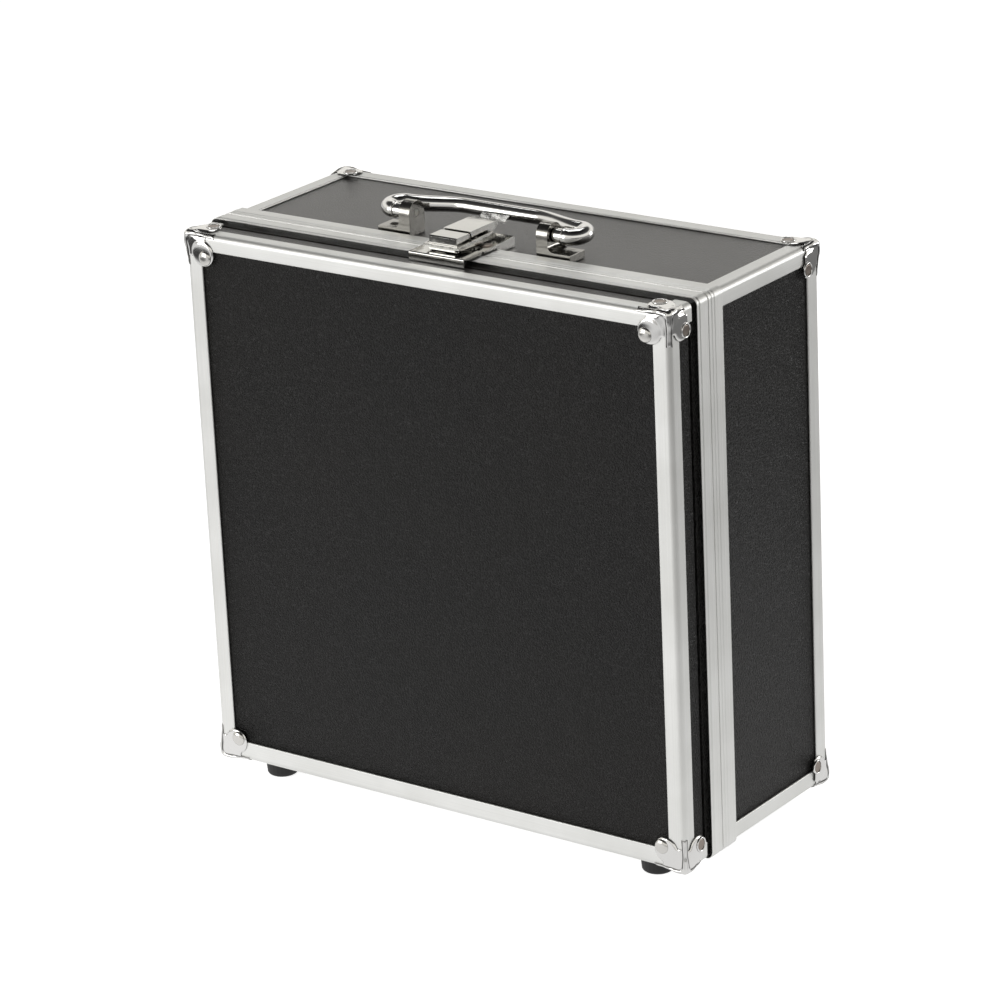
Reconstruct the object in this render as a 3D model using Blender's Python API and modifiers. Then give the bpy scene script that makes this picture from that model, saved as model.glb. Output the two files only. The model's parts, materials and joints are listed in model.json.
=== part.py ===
# An aluminium-framed carrying case: a hinged lid, a toggle latch and a folding handle.
# Metres, +Z up. The origin is on the floor under the middle of the case, and the lid faces -Y.
# Run it with blender --background --python part.py, or from the text editor.

import math

import bmesh
import bpy
from mathutils import Matrix, Vector

# Clearances
TOUCH_GAP = 0.0003  # between pieces that touch
SEAM_GAP = 0.0004  # between the two rims
OVERRUN = 0.002  # how far a cutter runs past what it cuts
MERGE_DISTANCE = 0.000001  # points of one outline that are closer are joined
SINK = 0.0005  # how far fused shapes run into each other

# Case
CASE_WIDTH = 0.340
CASE_HEIGHT = 0.334
CASE_DEPTH = 0.154
LID_DEPTH = 0.0368
FOOT_HEIGHT = 0.012

# Edge profiles, L-shaped extrusions
PROFILE_WALL = 0.0012
PROFILE_RADIUS = 0.0035
PROFILE_CHAMFER = 0.0004
LID_FACE_LEG_TOP = 0.0105
LID_FACE_LEG_BOTTOM = 0.0124
LID_FACE_LEG_SIDE = 0.0114
LID_WALL_LEG = 0.0098
REAR_FACE_LEG = 0.0114
REAR_WALL_LEG = 0.0121
DEPTH_LEG = 0.0112
PROFILE_ARC_STEPS = 5

# Boards and linings
BOARD_THICKNESS = 0.0050
LINING_THICKNESS = 0.0015
LID_GROOVE_WIDTH = 0.0024  # the groove in the lid's boards, beside its rim
LID_GROOVE_DEPTH = 0.0030

# Rims, bent extrusions round the seam
RIM_PROUD = 0.0020
RIM_CORNER_RADIUS = 0.0045
RIM_INSIDE_RADIUS = 0.0005
RIM_CORNER_STEPS = 4
RIM_WEB = 0.0018
RIM_INNER_WALL = 0.0010
RIM_INNER_REACH = 0.0088
RIM_RECESS_DEPTH = 0.0008
RIM_GROOVE_DEPTH = 0.0006
RIM_SLOPE = 0.0003
LID_RIM_LIP = 0.0018
LID_RIM_RECESS = 0.0038
LID_RIM_BAND = 0.0054
LID_RIM_GROOVE = 0.0010
LID_RIM_BEAD = 0.0018
BODY_RIM_RECESS = 0.0040
BODY_RIM_BAND = 0.0063
BODY_RIM_GROOVE = 0.0011
BODY_RIM_BEAD = 0.0016
TONGUE_REACH = 0.0050
TONGUE_WALL = 0.0010
TONGUE_GAP = 0.0005

# Corner caps: pressed plates with a ridge along each edge and a riveted lobe on each face
CAP_PLATE = 0.0007
CAP_RIDGE_HEIGHT = 0.0005
CAP_RIDGE_WIDTH = 0.0028
CAP_EDGE_RADIUS = 0.0050
CAP_LEG_X = 0.0215
CAP_LEG_Y = 0.0155
CAP_LEG_Z = 0.0202
CAP_LOBE_RADIUS = 0.0078
CAP_LOBE_PULL = 0.0023  # from a rivet towards the tip, both ways, to the lobe's centre
CAP_FACE_RIVET_X = 0.0152  # a rivet's distances from the case's edges
CAP_FACE_RIVET_Z = 0.0143
CAP_TOP_RIVET_X = 0.0130
CAP_TOP_RIVET_Y = 0.0112
CAP_SIDE_RIVET_Y = 0.0139
CAP_SIDE_RIVET_Z = 0.0134
CAP_RIVET_RADIUS = 0.0043
CAP_RIVET_RISE = 0.0021
CAP_EDGE_STEPS = 4
CAP_LOBE_SIDES = 20
CAP_RIVET_SIDES = 12

# Feet
FOOT_STEM_RADIUS = 0.0034
FOOT_TOP_RADIUS = 0.0103
FOOT_BOTTOM_RADIUS = 0.0072
FOOT_ROUNDING = 0.0025
FOOT_INSET = 0.0320  # from the case's side to a foot's axis
FOOT_STEPS = 24

# Bottom hinges
HINGE_TO_FOOT = 0.0077  # between a hinge and the foot beside it
HINGE_WIDTH = 0.0500
HINGE_LEAF_REACH = 0.0110
HINGE_LEAF_WALL = 0.0012
HINGE_KNUCKLE_RADIUS = 0.0025
HINGE_KNUCKLES = 5
HINGE_PIN_RADIUS = 0.0012
HINGE_SIDES = 16

# Running fit of every pin in its holes
PIN_CLEARANCE = 0.0002

# Handle: brackets, pins and the bent bar
BRACKET_INNER_X = 0.0448
BRACKET_LUG_WIDTH = 0.0078
BRACKET_FOOT_LENGTH = 0.0232
BRACKET_DEPTH = 0.0148
BRACKET_FOOT_THICKNESS = 0.0046
BRACKET_FILLET = 0.0040
BRACKET_SCREW_RADIUS = 0.0030
BRACKET_SCREW_RISE = 0.0010
BRACKET_SCREW_FROM_END = 0.0062
HANDLE_AXIS_HEIGHT = 0.0135  # above the top board
HANDLE_AXIS_FROM_SEAM = 0.0240
HANDLE_SIDE_GAP = 0.0006
HANDLE_BOSS_LENGTH = 0.0081
HANDLE_BEND_RADIUS = 0.0070
HANDLE_GRIP_REACH = 0.0220  # from the pivot axis to the middle of the grip
HANDLE_GRIP_HALF = 0.0250  # half the straight middle of the grip
HANDLE_BAR_RADIUS = 0.0049
HANDLE_GRIP_THINNING_SHARE = 0.90
HANDLE_TILT = math.radians(3.0)
HANDLE_PIN_RADIUS = 0.0020
HANDLE_PIN_IN_BOSS = 0.0060
HANDLE_BEND_STEPS = 7
HANDLE_BOW_STEPS = 6

# Latch: keeper plate on the lid, base plate on the body, lever on the base, hook on the lever
LATCH_HALF_WIDTH = 0.0195
LATCH_SHEET = 0.0012
KEEPER_DEPTH = 0.0181
KEEPER_RISE = 0.0018  # thickness over the rim
KEEPER_RIDGE_RISE = 0.0007
KEEPER_RIDGE_WIDTH = 0.0025
KEEPER_RIDGE_FROM_FRONT = 0.0080
BASE_DEPTH = 0.0303
BASE_FRONT_GAP = 0.0006
BASE_FRONT_RISE = 0.0012
BASE_REAR_RISE = 0.0028
BASE_RIVET_RADIUS = 0.0035
BASE_RIVET_FROM_MIDDLE = 0.0145
BASE_RIVET_BEHIND_SEAM = 0.0107
BASE_RIVET_RISE = 0.0009
LATCH_SIDE_GAP = 0.0005
LEVER_HALF_WIDTH = 0.0095
LEVER_AXIS_BEHIND_SEAM = 0.0062
LEVER_AXIS_RISE = 0.0054  # above the rim's band
LEVER_TOP_ABOVE_AXIS = 0.0062
LEVER_FRONT_REACH = 0.0039
LEVER_PLATE_LENGTH = 0.0268
LEVER_TAB_DIP = 0.0028
LEVER_TAB_DIP_LENGTH = 0.0066
LEVER_TAB_LENGTH = 0.0050
LEVER_TAB_LIFT = 0.0022
LEVER_LOBE_RADIUS = 0.0020
EAR_WALL = 0.0010
EAR_RADIUS = 0.0022
HOOK_ARM_WALL = 0.0010
HOOK_ARM_RADIUS = 0.0021
HOOK_ARM_FRONT_RISE = 0.0009
LATCH_LINK = 0.0140  # from the lever's axis to the hook's axis
HOOK_FRONT_REACH = 0.0195  # from the lever's axis to the hook's front edge
HOOK_PLATE_WALL = 0.0014
HOOK_PLATE_BELOW_AXIS = 0.0006
HOOK_CLAW_DEPTH = 0.0016
HOOK_CLAW_WALL = 0.0012
HOOK_CLAW_HALF_WIDTH = 0.0090
HOOK_BLOCK_HALF_WIDTH = 0.0097
HOOK_BLOCK_SETBACK = 0.0019
HOOK_BLOCK_HEIGHT = 0.0048
HOOK_BLOCK_CHAMFER = 0.0007
HOOK_REAR_CLEAR = 0.0013  # between the hook's block and the lever's front edge
LATCH_PIN_RADIUS = 0.0013
LATCH_PIN_SIDES = 16

# Worked out from the sizes above
FRONT_Y = -CASE_DEPTH / 2
BACK_Y = CASE_DEPTH / 2
SIDE_X = CASE_WIDTH / 2
BOTTOM_Z = FOOT_HEIGHT
TOP_Z = FOOT_HEIGHT + CASE_HEIGHT
MIDDLE_Z = FOOT_HEIGHT + CASE_HEIGHT / 2
SEAM_Y = FRONT_Y + LID_DEPTH
BOARD_SINK = PROFILE_WALL + TOUCH_GAP  # boards lie this far inside the profiles' outer faces
BOARD_INSIDE = BOARD_SINK + BOARD_THICKNESS
LINING_SINK = BOARD_INSIDE + TOUCH_GAP
RIM_INNER_SINK = LINING_SINK + RIM_INNER_WALL
TONGUE_SINK = RIM_INNER_SINK + TONGUE_GAP
LID_RIM_Y = SEAM_Y - SEAM_GAP / 2
BODY_RIM_Y = SEAM_Y + SEAM_GAP / 2
LID_RIM_WIDTH = LID_RIM_LIP + LID_RIM_RECESS + LID_RIM_BAND + LID_RIM_GROOVE + LID_RIM_BEAD
BODY_RIM_WIDTH = BODY_RIM_RECESS + BODY_RIM_BAND + BODY_RIM_GROOVE + BODY_RIM_BEAD
LID_RIM_START_Y = LID_RIM_Y - LID_RIM_WIDTH
BODY_RIM_END_Y = BODY_RIM_Y + BODY_RIM_WIDTH
LID_WEB_Y = LID_RIM_Y - RIM_WEB
BODY_WEB_Y = BODY_RIM_Y + RIM_WEB
CAP_SEAT = TOUCH_GAP
RIM_TOP_Z = TOP_Z + RIM_PROUD
BOARD_TOP_Z = TOP_Z - BOARD_SINK
HINGE_AXIS_Z = BOTTOM_Z - RIM_PROUD - TOUCH_GAP - HINGE_KNUCKLE_RADIUS
FOOT_X = SIDE_X - FOOT_INSET
HINGE_MIDDLE_X = FOOT_X - FOOT_TOP_RADIUS - HINGE_TO_FOOT - HINGE_WIDTH / 2
HANDLE_AXIS_Y = SEAM_Y + HANDLE_AXIS_FROM_SEAM
HANDLE_AXIS_Z = BOARD_TOP_Z + HANDLE_AXIS_HEIGHT
BRACKET_OUTER_X = BRACKET_INNER_X + BRACKET_LUG_WIDTH
HANDLE_END_X = BRACKET_OUTER_X + HANDLE_SIDE_GAP
LEVER_AXIS_Y = SEAM_Y + LEVER_AXIS_BEHIND_SEAM
LEVER_AXIS_Z = RIM_TOP_Z + LEVER_AXIS_RISE
HOOK_AXIS_Y = LEVER_AXIS_Y + LATCH_LINK
EAR_INNER_X = LEVER_HALF_WIDTH + LATCH_SIDE_GAP
EAR_OUTER_X = EAR_INNER_X + EAR_WALL
ARM_INNER_X = EAR_OUTER_X + LATCH_SIDE_GAP
ARM_OUTER_X = ARM_INNER_X + HOOK_ARM_WALL


def clear_scene():
    for obj in list(bpy.data.objects):
        bpy.data.objects.remove(obj, do_unlink=True)


clear_scene()
case_parts = bpy.data.collections.new("aluminium_case")
helpers = bpy.data.collections.new("cutters")
bpy.context.scene.collection.children.link(case_parts)
bpy.context.scene.collection.children.link(helpers)


def finish(name, color, roughness, metallic):
    material = bpy.data.materials.new(name)
    material.use_nodes = True
    shader = material.node_tree.nodes["Principled BSDF"]
    shader.inputs["Base Color"].default_value = (*color, 1)
    shader.inputs["Roughness"].default_value = roughness
    shader.inputs["Metallic"].default_value = metallic
    material.diffuse_color = (*color, 1)
    return material


black_film = finish("black_grained_film", (0.012, 0.012, 0.011), 0.45, 0)
satin_aluminium = finish("satin_aluminium", (0.72, 0.72, 0.70), 0.35, 1)
bright_chrome = finish("bright_chrome", (0.62, 0.62, 0.61), 0.08, 1)
zinc_steel = finish("zinc_plated_steel", (0.55, 0.55, 0.54), 0.30, 1)
black_rubber = finish("black_rubber", (0.015, 0.015, 0.016), 0.70, 0)
black_lining = finish("black_felt_lining", (0.02, 0.02, 0.02), 0.95, 0)


# Making and placing solids

def add_object(name, mesh, material, collection=None):
    obj = bpy.data.objects.new(name, mesh)
    (collection or case_parts).objects.link(obj)
    if material and not mesh.materials:
        mesh.materials.append(material)
    return obj


def as_helper(obj):
    """Hides a solid that only cuts or joins another."""
    for collection in obj.users_collection:
        collection.objects.unlink(obj)
    helpers.objects.link(obj)
    obj.hide_render = True
    obj.display_type = "WIRE"
    return obj


def combine(target, helper, operation):
    modifier = target.modifiers.new(operation.title(), "BOOLEAN")
    modifier.operation = operation
    modifier.object = as_helper(helper)
    return target


def shade_round(mesh, angle=math.radians(35)):
    mesh.shade_smooth()
    mesh.set_sharp_from_angle(angle=angle)


def box(name, low, high, material=None):
    low = Vector(low)
    high = Vector(high)
    shape = bmesh.new()
    size = Matrix.Diagonal((*(high - low), 1))
    bmesh.ops.create_cube(shape, size=1, matrix=Matrix.Translation((low + high) / 2) @ size)
    mesh = bpy.data.meshes.new(name)
    shape.to_mesh(mesh)
    shape.free()
    return add_object(name, mesh, material)


def rod(name, radius, start, end, sides, material=None):
    """A cylinder from one point to another."""
    start = Vector(start)
    end = Vector(end)
    along = end - start
    turn = along.to_track_quat("Z", "Y").to_matrix().to_4x4()
    shape = bmesh.new()
    bmesh.ops.create_cone(
        shape,
        cap_ends=True,
        segments=sides,
        radius1=radius,
        radius2=radius,
        depth=along.length,
        matrix=Matrix.Translation((start + end) / 2) @ turn,
    )
    mesh = bpy.data.meshes.new(name)
    shape.to_mesh(mesh)
    shape.free()
    shade_round(mesh)
    return add_object(name, mesh, material)


def dome(name, radius, rise, center, normal, sides):
    """A low ellipsoid, whose lower half sinks into what carries it."""
    turn = Vector(normal).to_track_quat("Z", "Y").to_matrix().to_4x4()
    size = Matrix.Diagonal((radius, radius, rise, 1))
    shape = bmesh.new()
    bmesh.ops.create_uvsphere(
        shape,
        u_segments=sides,
        v_segments=sides // 2,
        radius=1,
        matrix=Matrix.Translation(center) @ turn @ size,
    )
    mesh = bpy.data.meshes.new(name)
    shape.to_mesh(mesh)
    shape.free()
    shade_round(mesh)
    return add_object(name, mesh, None)


def plate(name, outline, thickness):
    """A flat outline with a thickness, centred on z = 0, as a mesh."""
    curve = bpy.data.curves.new(name, "CURVE")
    curve.dimensions = "2D"
    curve.fill_mode = "BOTH"
    curve.extrude = thickness / 2
    spline = curve.splines.new("POLY")
    spline.points.add(len(outline) - 1)
    for point, (u, v) in zip(spline.points, outline):
        point.co = (u, v, 0, 1)
    spline.use_cyclic_u = True
    return curve_to_mesh(name, curve)


def curve_to_mesh(name, curve):
    obj = bpy.data.objects.new(name, curve)
    bpy.context.scene.collection.objects.link(obj)
    bpy.context.view_layer.update()
    graph = bpy.context.evaluated_depsgraph_get()
    mesh = bpy.data.meshes.new_from_object(obj.evaluated_get(graph))
    bpy.data.objects.remove(obj)
    shape = bmesh.new()
    shape.from_mesh(mesh)
    bmesh.ops.remove_doubles(shape, verts=shape.verts, dist=MERGE_DISTANCE)
    bmesh.ops.recalc_face_normals(shape, faces=shape.faces)
    shape.to_mesh(mesh)
    shape.free()
    mesh.name = name
    return mesh


def lay_out(mesh, origin, along_u, along_v, along_w):
    """Moves a mesh so that its own x, y and z run along three directions from a point."""
    frame = Matrix((along_u, along_v, along_w)).transposed().to_4x4()
    frame.translation = Vector(origin)
    mesh.transform(frame)
    if frame.determinant() < 0:
        mesh.flip_normals()
    return mesh


X = Vector((1, 0, 0))
Y = Vector((0, 1, 0))
Z = Vector((0, 0, 1))


def side_plate(name, outline, low_x, high_x, material=None):
    """An outline of (y, z) points in the case's frame, as thick as from one x to another."""
    mesh = plate(name, outline, high_x - low_x)
    lay_out(mesh, X * (low_x + high_x) / 2, Y, Z, X)
    return add_object(name, mesh, material)


def arc(center, radius, start, end, steps):
    """Points on an arc, with angles in degrees."""
    points = []
    for step in range(steps + 1):
        angle = math.radians(start + (end - start) * step / steps)
        points.append(
            (center[0] + radius * math.cos(angle), center[1] + radius * math.sin(angle))
        )
    return points


# Boards, profiles and rims

def make_boards():
    outer_x = SIDE_X - BOARD_SINK
    low_z = BOTTOM_Z + BOARD_SINK
    high_z = TOP_Z - BOARD_SINK
    front = FRONT_Y + BOARD_SINK
    back = BACK_Y - BOARD_SINK
    box("lid_panel", (-outer_x, front, low_z), (outer_x, front + BOARD_THICKNESS, high_z), black_film)
    box("body_back_panel", (-outer_x, back - BOARD_THICKNESS, low_z), (outer_x, back, high_z), black_film)
    spans = {
        "lid": (front + BOARD_THICKNESS + TOUCH_GAP, LID_WEB_Y - TOUCH_GAP),
        "body": (BODY_WEB_Y + TOUCH_GAP, back - BOARD_THICKNESS - TOUCH_GAP),
    }
    side_low = low_z + BOARD_THICKNESS + TOUCH_GAP
    side_high = high_z - BOARD_THICKNESS - TOUCH_GAP
    for half, (near, far) in spans.items():
        walls = {
            "top": ((-outer_x, near, high_z - BOARD_THICKNESS), (outer_x, far, high_z)),
            "bottom": ((-outer_x, near, low_z), (outer_x, far, low_z + BOARD_THICKNESS)),
            "left": ((-outer_x, near, side_low), (BOARD_THICKNESS - outer_x, far, side_high)),
            "right": ((outer_x - BOARD_THICKNESS, near, side_low), (outer_x, far, side_high)),
        }
        for side, (low, high) in walls.items():
            wall = box(f"{half}_wall_{side}", low, high, black_film)
            if half == "lid":
                cut_groove(wall, side, low, high)


def cut_groove(wall, side, low, high):
    """A groove across a lid board's outer face, just in front of the rim."""
    start = [corner - OVERRUN for corner in low]
    end = [corner + OVERRUN for corner in high]
    start[1] = LID_RIM_START_Y - LID_GROOVE_WIDTH
    end[1] = LID_RIM_START_Y
    if side == "top":
        start[2] = high[2] - LID_GROOVE_DEPTH
    elif side == "bottom":
        end[2] = low[2] + LID_GROOVE_DEPTH
    elif side == "left":
        end[0] = low[0] + LID_GROOVE_DEPTH
    else:
        start[0] = high[0] - LID_GROOVE_DEPTH
    combine(wall, box("groove", start, end), "DIFFERENCE")


def angle_outline(face_leg, wall_leg):
    """An L with its rounded outer corner at 0, 0 and its legs along +u and +v."""
    center = (PROFILE_RADIUS, PROFILE_RADIUS)
    outline = arc(center, PROFILE_RADIUS, 180, 270, PROFILE_ARC_STEPS)
    outline += [
        (face_leg - PROFILE_CHAMFER, 0),
        (face_leg, PROFILE_CHAMFER),
        (face_leg, PROFILE_WALL),
        (PROFILE_RADIUS, PROFILE_WALL),
        (PROFILE_WALL, PROFILE_WALL),
        (PROFILE_WALL, wall_leg),
        (PROFILE_CHAMFER, wall_leg),
        (0, wall_leg - PROFILE_CHAMFER),
    ]
    return outline


def mitred_profile(name, face_leg, wall_leg, half_length, origin, inward, back, along):
    """A profile with both ends cut at 45 degrees, and square at the outer edge, under the caps."""
    mesh = plate(name, angle_outline(face_leg, wall_leg), 2 * half_length)
    for vertex in mesh.vertices:
        end = half_length - max(vertex.co.x, PROFILE_RADIUS) - TOUCH_GAP / 2
        vertex.co.z = math.copysign(end, vertex.co.z)
    lay_out(mesh, origin, inward, back, along)
    shade_round(mesh)
    return add_object(name, mesh, satin_aluminium)


def make_frame(half, face_y, back, legs, wall_leg):
    """Four mitred profiles round the front or the back face."""
    mitred_profile(
        f"{half}_edge_top", legs["top"], wall_leg, SIDE_X, (0, face_y, TOP_Z), -Z, back, X
    )
    mitred_profile(
        f"{half}_edge_bottom", legs["bottom"], wall_leg, SIDE_X, (0, face_y, BOTTOM_Z), Z, back, X
    )
    mitred_profile(
        f"{half}_edge_left", legs["side"], wall_leg, CASE_HEIGHT / 2, (-SIDE_X, face_y, MIDDLE_Z), X, back, Z
    )
    mitred_profile(
        f"{half}_edge_right", legs["side"], wall_leg, CASE_HEIGHT / 2, (SIDE_X, face_y, MIDDLE_Z), -X, back, Z
    )


def make_depth_profile(name, start_y, end_y, side, up):
    """A square-ended profile along an edge that runs from front to back."""
    mesh = plate(name, angle_outline(DEPTH_LEG, DEPTH_LEG), end_y - start_y)
    edge_z = TOP_Z if up > 0 else BOTTOM_Z
    lay_out(mesh, (side * SIDE_X, (start_y + end_y) / 2, edge_z), -side * X, -up * Z, Y)
    shade_round(mesh)
    add_object(name, mesh, satin_aluminium)


def make_profiles():
    lid_legs = {"top": LID_FACE_LEG_TOP, "bottom": LID_FACE_LEG_BOTTOM, "side": LID_FACE_LEG_SIDE}
    rear_legs = {"top": REAR_FACE_LEG, "bottom": REAR_FACE_LEG, "side": REAR_FACE_LEG}
    make_frame("lid", FRONT_Y, Y, lid_legs, LID_WALL_LEG)
    make_frame("rear", BACK_Y, -Y, rear_legs, REAR_WALL_LEG)
    for vertical, up in (("top", 1), ("bottom", -1)):
        for across, side in (("left", -1), ("right", 1)):
            make_depth_profile(
                f"lid_depth_edge_{vertical}_{across}",
                FRONT_Y + LID_WALL_LEG + TOUCH_GAP,
                LID_RIM_START_Y - TOUCH_GAP,
                side,
                up,
            )
            make_depth_profile(
                f"body_depth_edge_{vertical}_{across}",
                BODY_RIM_END_Y + TOUCH_GAP,
                BACK_Y - REAR_WALL_LEG - TOUCH_GAP,
                side,
                up,
            )


def rim_loop(y, offset):
    """A rounded rectangle round the case, this far outside its faces."""
    if offset > 0:
        radius = max(RIM_CORNER_RADIUS + offset - RIM_PROUD, RIM_INSIDE_RADIUS)
    else:
        radius = RIM_INSIDE_RADIUS
    reach_x = SIDE_X + offset - radius
    reach_z = CASE_HEIGHT / 2 + offset - radius
    points = []
    for quarter, (sign_x, sign_z) in enumerate(((1, 1), (-1, 1), (-1, -1), (1, -1))):
        center = (sign_x * reach_x, MIDDLE_Z + sign_z * reach_z)
        for x, z in arc(center, radius, 90 * quarter, 90 * quarter + 90, RIM_CORNER_STEPS):
            points.append((x, y, z))
    return points


def bent_rim(name, section):
    """Carries a closed section of (y, offset) points round the case.
    The outer bends are round and the inner ones square, so the loops differ in radius."""
    shape = bmesh.new()
    loops = [[shape.verts.new(point) for point in rim_loop(y, offset)] for y, offset in section]
    count = len(loops[0])
    for near, far in zip(loops, loops[1:] + loops[:1]):
        for index in range(count):
            following = (index + 1) % count
            shape.faces.new((near[index], near[following], far[following], far[index]))
    bmesh.ops.recalc_face_normals(shape, faces=shape.faces)
    mesh = bpy.data.meshes.new(name)
    shape.to_mesh(mesh)
    shape.free()
    shade_round(mesh)
    add_object(name, mesh, satin_aluminium)


def rib_outline(start, direction, widths, depths):
    """The ribbed outer face: flat steps of the given widths and depths, joined by short slopes."""
    points = []
    y = start
    for index, (width, depth) in enumerate(zip(widths, depths)):
        level = RIM_PROUD - depth
        lead = RIM_SLOPE if index > 0 and depth > depths[index - 1] else 0
        tail = RIM_SLOPE if index + 1 < len(depths) and depth > depths[index + 1] else 0
        points.append((y + direction * lead, level))
        y += direction * width
        points.append((y - direction * tail, level))
    return points


def make_rims():
    lid_section = rib_outline(
        LID_RIM_Y,
        -1,
        (LID_RIM_LIP, LID_RIM_RECESS, LID_RIM_BAND, LID_RIM_GROOVE, LID_RIM_BEAD),
        (0, RIM_RECESS_DEPTH, 0, RIM_GROOVE_DEPTH, 0),
    )
    lid_section += [
        (LID_RIM_START_Y, -PROFILE_WALL),
        (LID_WEB_Y, -PROFILE_WALL),
        (LID_WEB_Y, -LINING_SINK),
        (LID_WEB_Y - RIM_INNER_REACH, -LINING_SINK),
        (LID_WEB_Y - RIM_INNER_REACH, -RIM_INNER_SINK),
        (LID_RIM_Y, -RIM_INNER_SINK),
    ]
    bent_rim("lid_rim", lid_section)
    body_section = rib_outline(
        BODY_RIM_Y,
        1,
        (BODY_RIM_RECESS, BODY_RIM_BAND, BODY_RIM_GROOVE, BODY_RIM_BEAD),
        (RIM_RECESS_DEPTH, 0, RIM_GROOVE_DEPTH, 0),
    )
    body_section += [
        (BODY_RIM_END_Y, -PROFILE_WALL),
        (BODY_WEB_Y, -PROFILE_WALL),
        (BODY_WEB_Y, -LINING_SINK),
        (BODY_WEB_Y + RIM_INNER_REACH, -LINING_SINK),
        (BODY_WEB_Y + RIM_INNER_REACH, -RIM_INNER_SINK),
        (BODY_WEB_Y, -RIM_INNER_SINK),
        (BODY_WEB_Y, -TONGUE_SINK - TONGUE_WALL),
        (BODY_RIM_Y - TONGUE_REACH, -TONGUE_SINK - TONGUE_WALL),
        (BODY_RIM_Y - TONGUE_REACH, -TONGUE_SINK),
        (BODY_RIM_Y, -TONGUE_SINK),
    ]
    bent_rim("body_rim", body_section)


def make_lining(name, closed_y, open_y):
    """An open tray against the inside of the boards: a five-sided shell with a thickness."""
    x = SIDE_X - LINING_SINK
    low_z = BOTTOM_Z + LINING_SINK
    high_z = TOP_Z - LINING_SINK
    low = (-x, min(closed_y, open_y), low_z)
    high = (x, max(closed_y, open_y), high_z)
    tray = box(name, low, high, black_lining)
    shape = bmesh.new()
    shape.from_mesh(tray.data)
    middle = (closed_y + open_y) / 2
    outward = math.copysign(1, open_y - closed_y)
    mouth = [face for face in shape.faces if (face.calc_center_median().y - middle) * outward > 0]
    mouth = [face for face in mouth if abs(face.normal.y) > abs(face.normal.x) + abs(face.normal.z)]
    bmesh.ops.delete(shape, geom=mouth, context="FACES_ONLY")
    shape.to_mesh(tray.data)
    shape.free()
    wall = tray.modifiers.new("Wall", "SOLIDIFY")
    wall.thickness = LINING_THICKNESS
    wall.offset = -1
    wall.use_even_offset = True


def make_linings():
    make_lining("lid_lining", FRONT_Y + LINING_SINK, LID_WEB_Y - RIM_INNER_REACH - TOUCH_GAP)
    make_lining("body_lining", BACK_Y - LINING_SINK, BODY_WEB_Y + RIM_INNER_REACH + TOUCH_GAP)


# Corner caps

def make_cap_mesh():
    """One cap in its own frame: its tip is at 0, 0, 0 and the case lies towards +x, +y and +z."""
    top = CAP_SEAT + CAP_PLATE + CAP_RIDGE_HEIGHT
    width = CAP_RIDGE_WIDTH
    cap = box("cap", (-top, -top, -top), (CAP_LEG_X, width, width), bright_chrome)
    combine(cap, box("ridge_y", (-top, -top, -top), (width, CAP_LEG_Y, width)), "UNION")
    combine(cap, box("ridge_z", (-top, -top, -top), (width, width, CAP_LEG_Z)), "UNION")
    level = CAP_SEAT + CAP_PLATE
    faces = (
        (Y, (CAP_FACE_RIVET_X, 0, CAP_FACE_RIVET_Z)),
        (Z, (CAP_TOP_RIVET_X, CAP_TOP_RIVET_Y, 0)),
        (X, (0, CAP_SIDE_RIVET_Y, CAP_SIDE_RIVET_Z)),
    )
    for axis, place in faces:
        rivet = Vector(place)
        combine(cap, box("web", -axis * level, rivet + axis * OVERRUN), "UNION")
        middle = rivet - (Vector((1, 1, 1)) - axis) * CAP_LOBE_PULL
        lobe = rod(
            "lobe", CAP_LOBE_RADIUS, middle - axis * level, middle + axis * (OVERRUN - SINK), CAP_LOBE_SIDES
        )
        combine(cap, lobe, "UNION")
    reach = max(CAP_LEG_X, CAP_LEG_Y, CAP_LEG_Z) + OVERRUN + CAP_EDGE_RADIUS
    rounded = box("rounded", (-top, -top, -top), (reach, reach, reach))
    bevel = rounded.modifiers.new("Edges", "BEVEL")
    bevel.width = CAP_EDGE_RADIUS
    bevel.segments = CAP_EDGE_STEPS
    combine(cap, rounded, "INTERSECT")
    for axis, place in faces:
        head = dome(
            "head",
            CAP_RIVET_RADIUS,
            CAP_PLATE + CAP_RIVET_RISE,
            Vector(place) - axis * CAP_SEAT,
            axis,
            CAP_RIVET_SIDES,
        )
        combine(cap, head, "UNION")
    hollow = box("hollow", Vector((-1, -1, -1)) * CAP_SEAT, Vector((2, 2, 2)) * reach)
    bevel = hollow.modifiers.new("Edges", "BEVEL")
    bevel.width = CAP_EDGE_RADIUS - CAP_PLATE - CAP_RIDGE_HEIGHT
    bevel.segments = CAP_EDGE_STEPS
    combine(cap, hollow, "DIFFERENCE")
    bpy.context.view_layer.update()
    graph = bpy.context.evaluated_depsgraph_get()
    mesh = bpy.data.meshes.new_from_object(cap.evaluated_get(graph))
    bpy.data.objects.remove(cap)
    return mesh


def make_caps():
    cap = make_cap_mesh()
    for half, face_y, back in (("lid", FRONT_Y, 1), ("body", BACK_Y, -1)):
        for vertical, edge_z, up in (("top", TOP_Z, -1), ("bottom", BOTTOM_Z, 1)):
            for across, side in (("left", -1), ("right", 1)):
                name = f"{half}_corner_{vertical}_{across}"
                mesh = cap.copy()
                mesh.name = name
                lay_out(mesh, (side * SIDE_X, face_y, edge_z), -side * X, back * Y, up * Z)
                shade_round(mesh)
                add_object(name, mesh, bright_chrome)


# Feet and hinges

def foot_profile():
    """Radius and height from the stem's top down the outer side to the middle of the sole."""
    stem_top = BOTTOM_Z + BOARD_SINK - TOUCH_GAP
    flange = BOTTOM_Z - RIM_PROUD - TOUCH_GAP
    sole = FOOT_BOTTOM_RADIUS
    profile = [(0, stem_top), (FOOT_STEM_RADIUS, stem_top), (FOOT_STEM_RADIUS, flange)]
    profile.append((FOOT_TOP_RADIUS, flange))
    profile += arc((sole, FOOT_ROUNDING), FOOT_ROUNDING, -20, -90, 3)
    profile.append((0, 0))
    return profile


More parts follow.
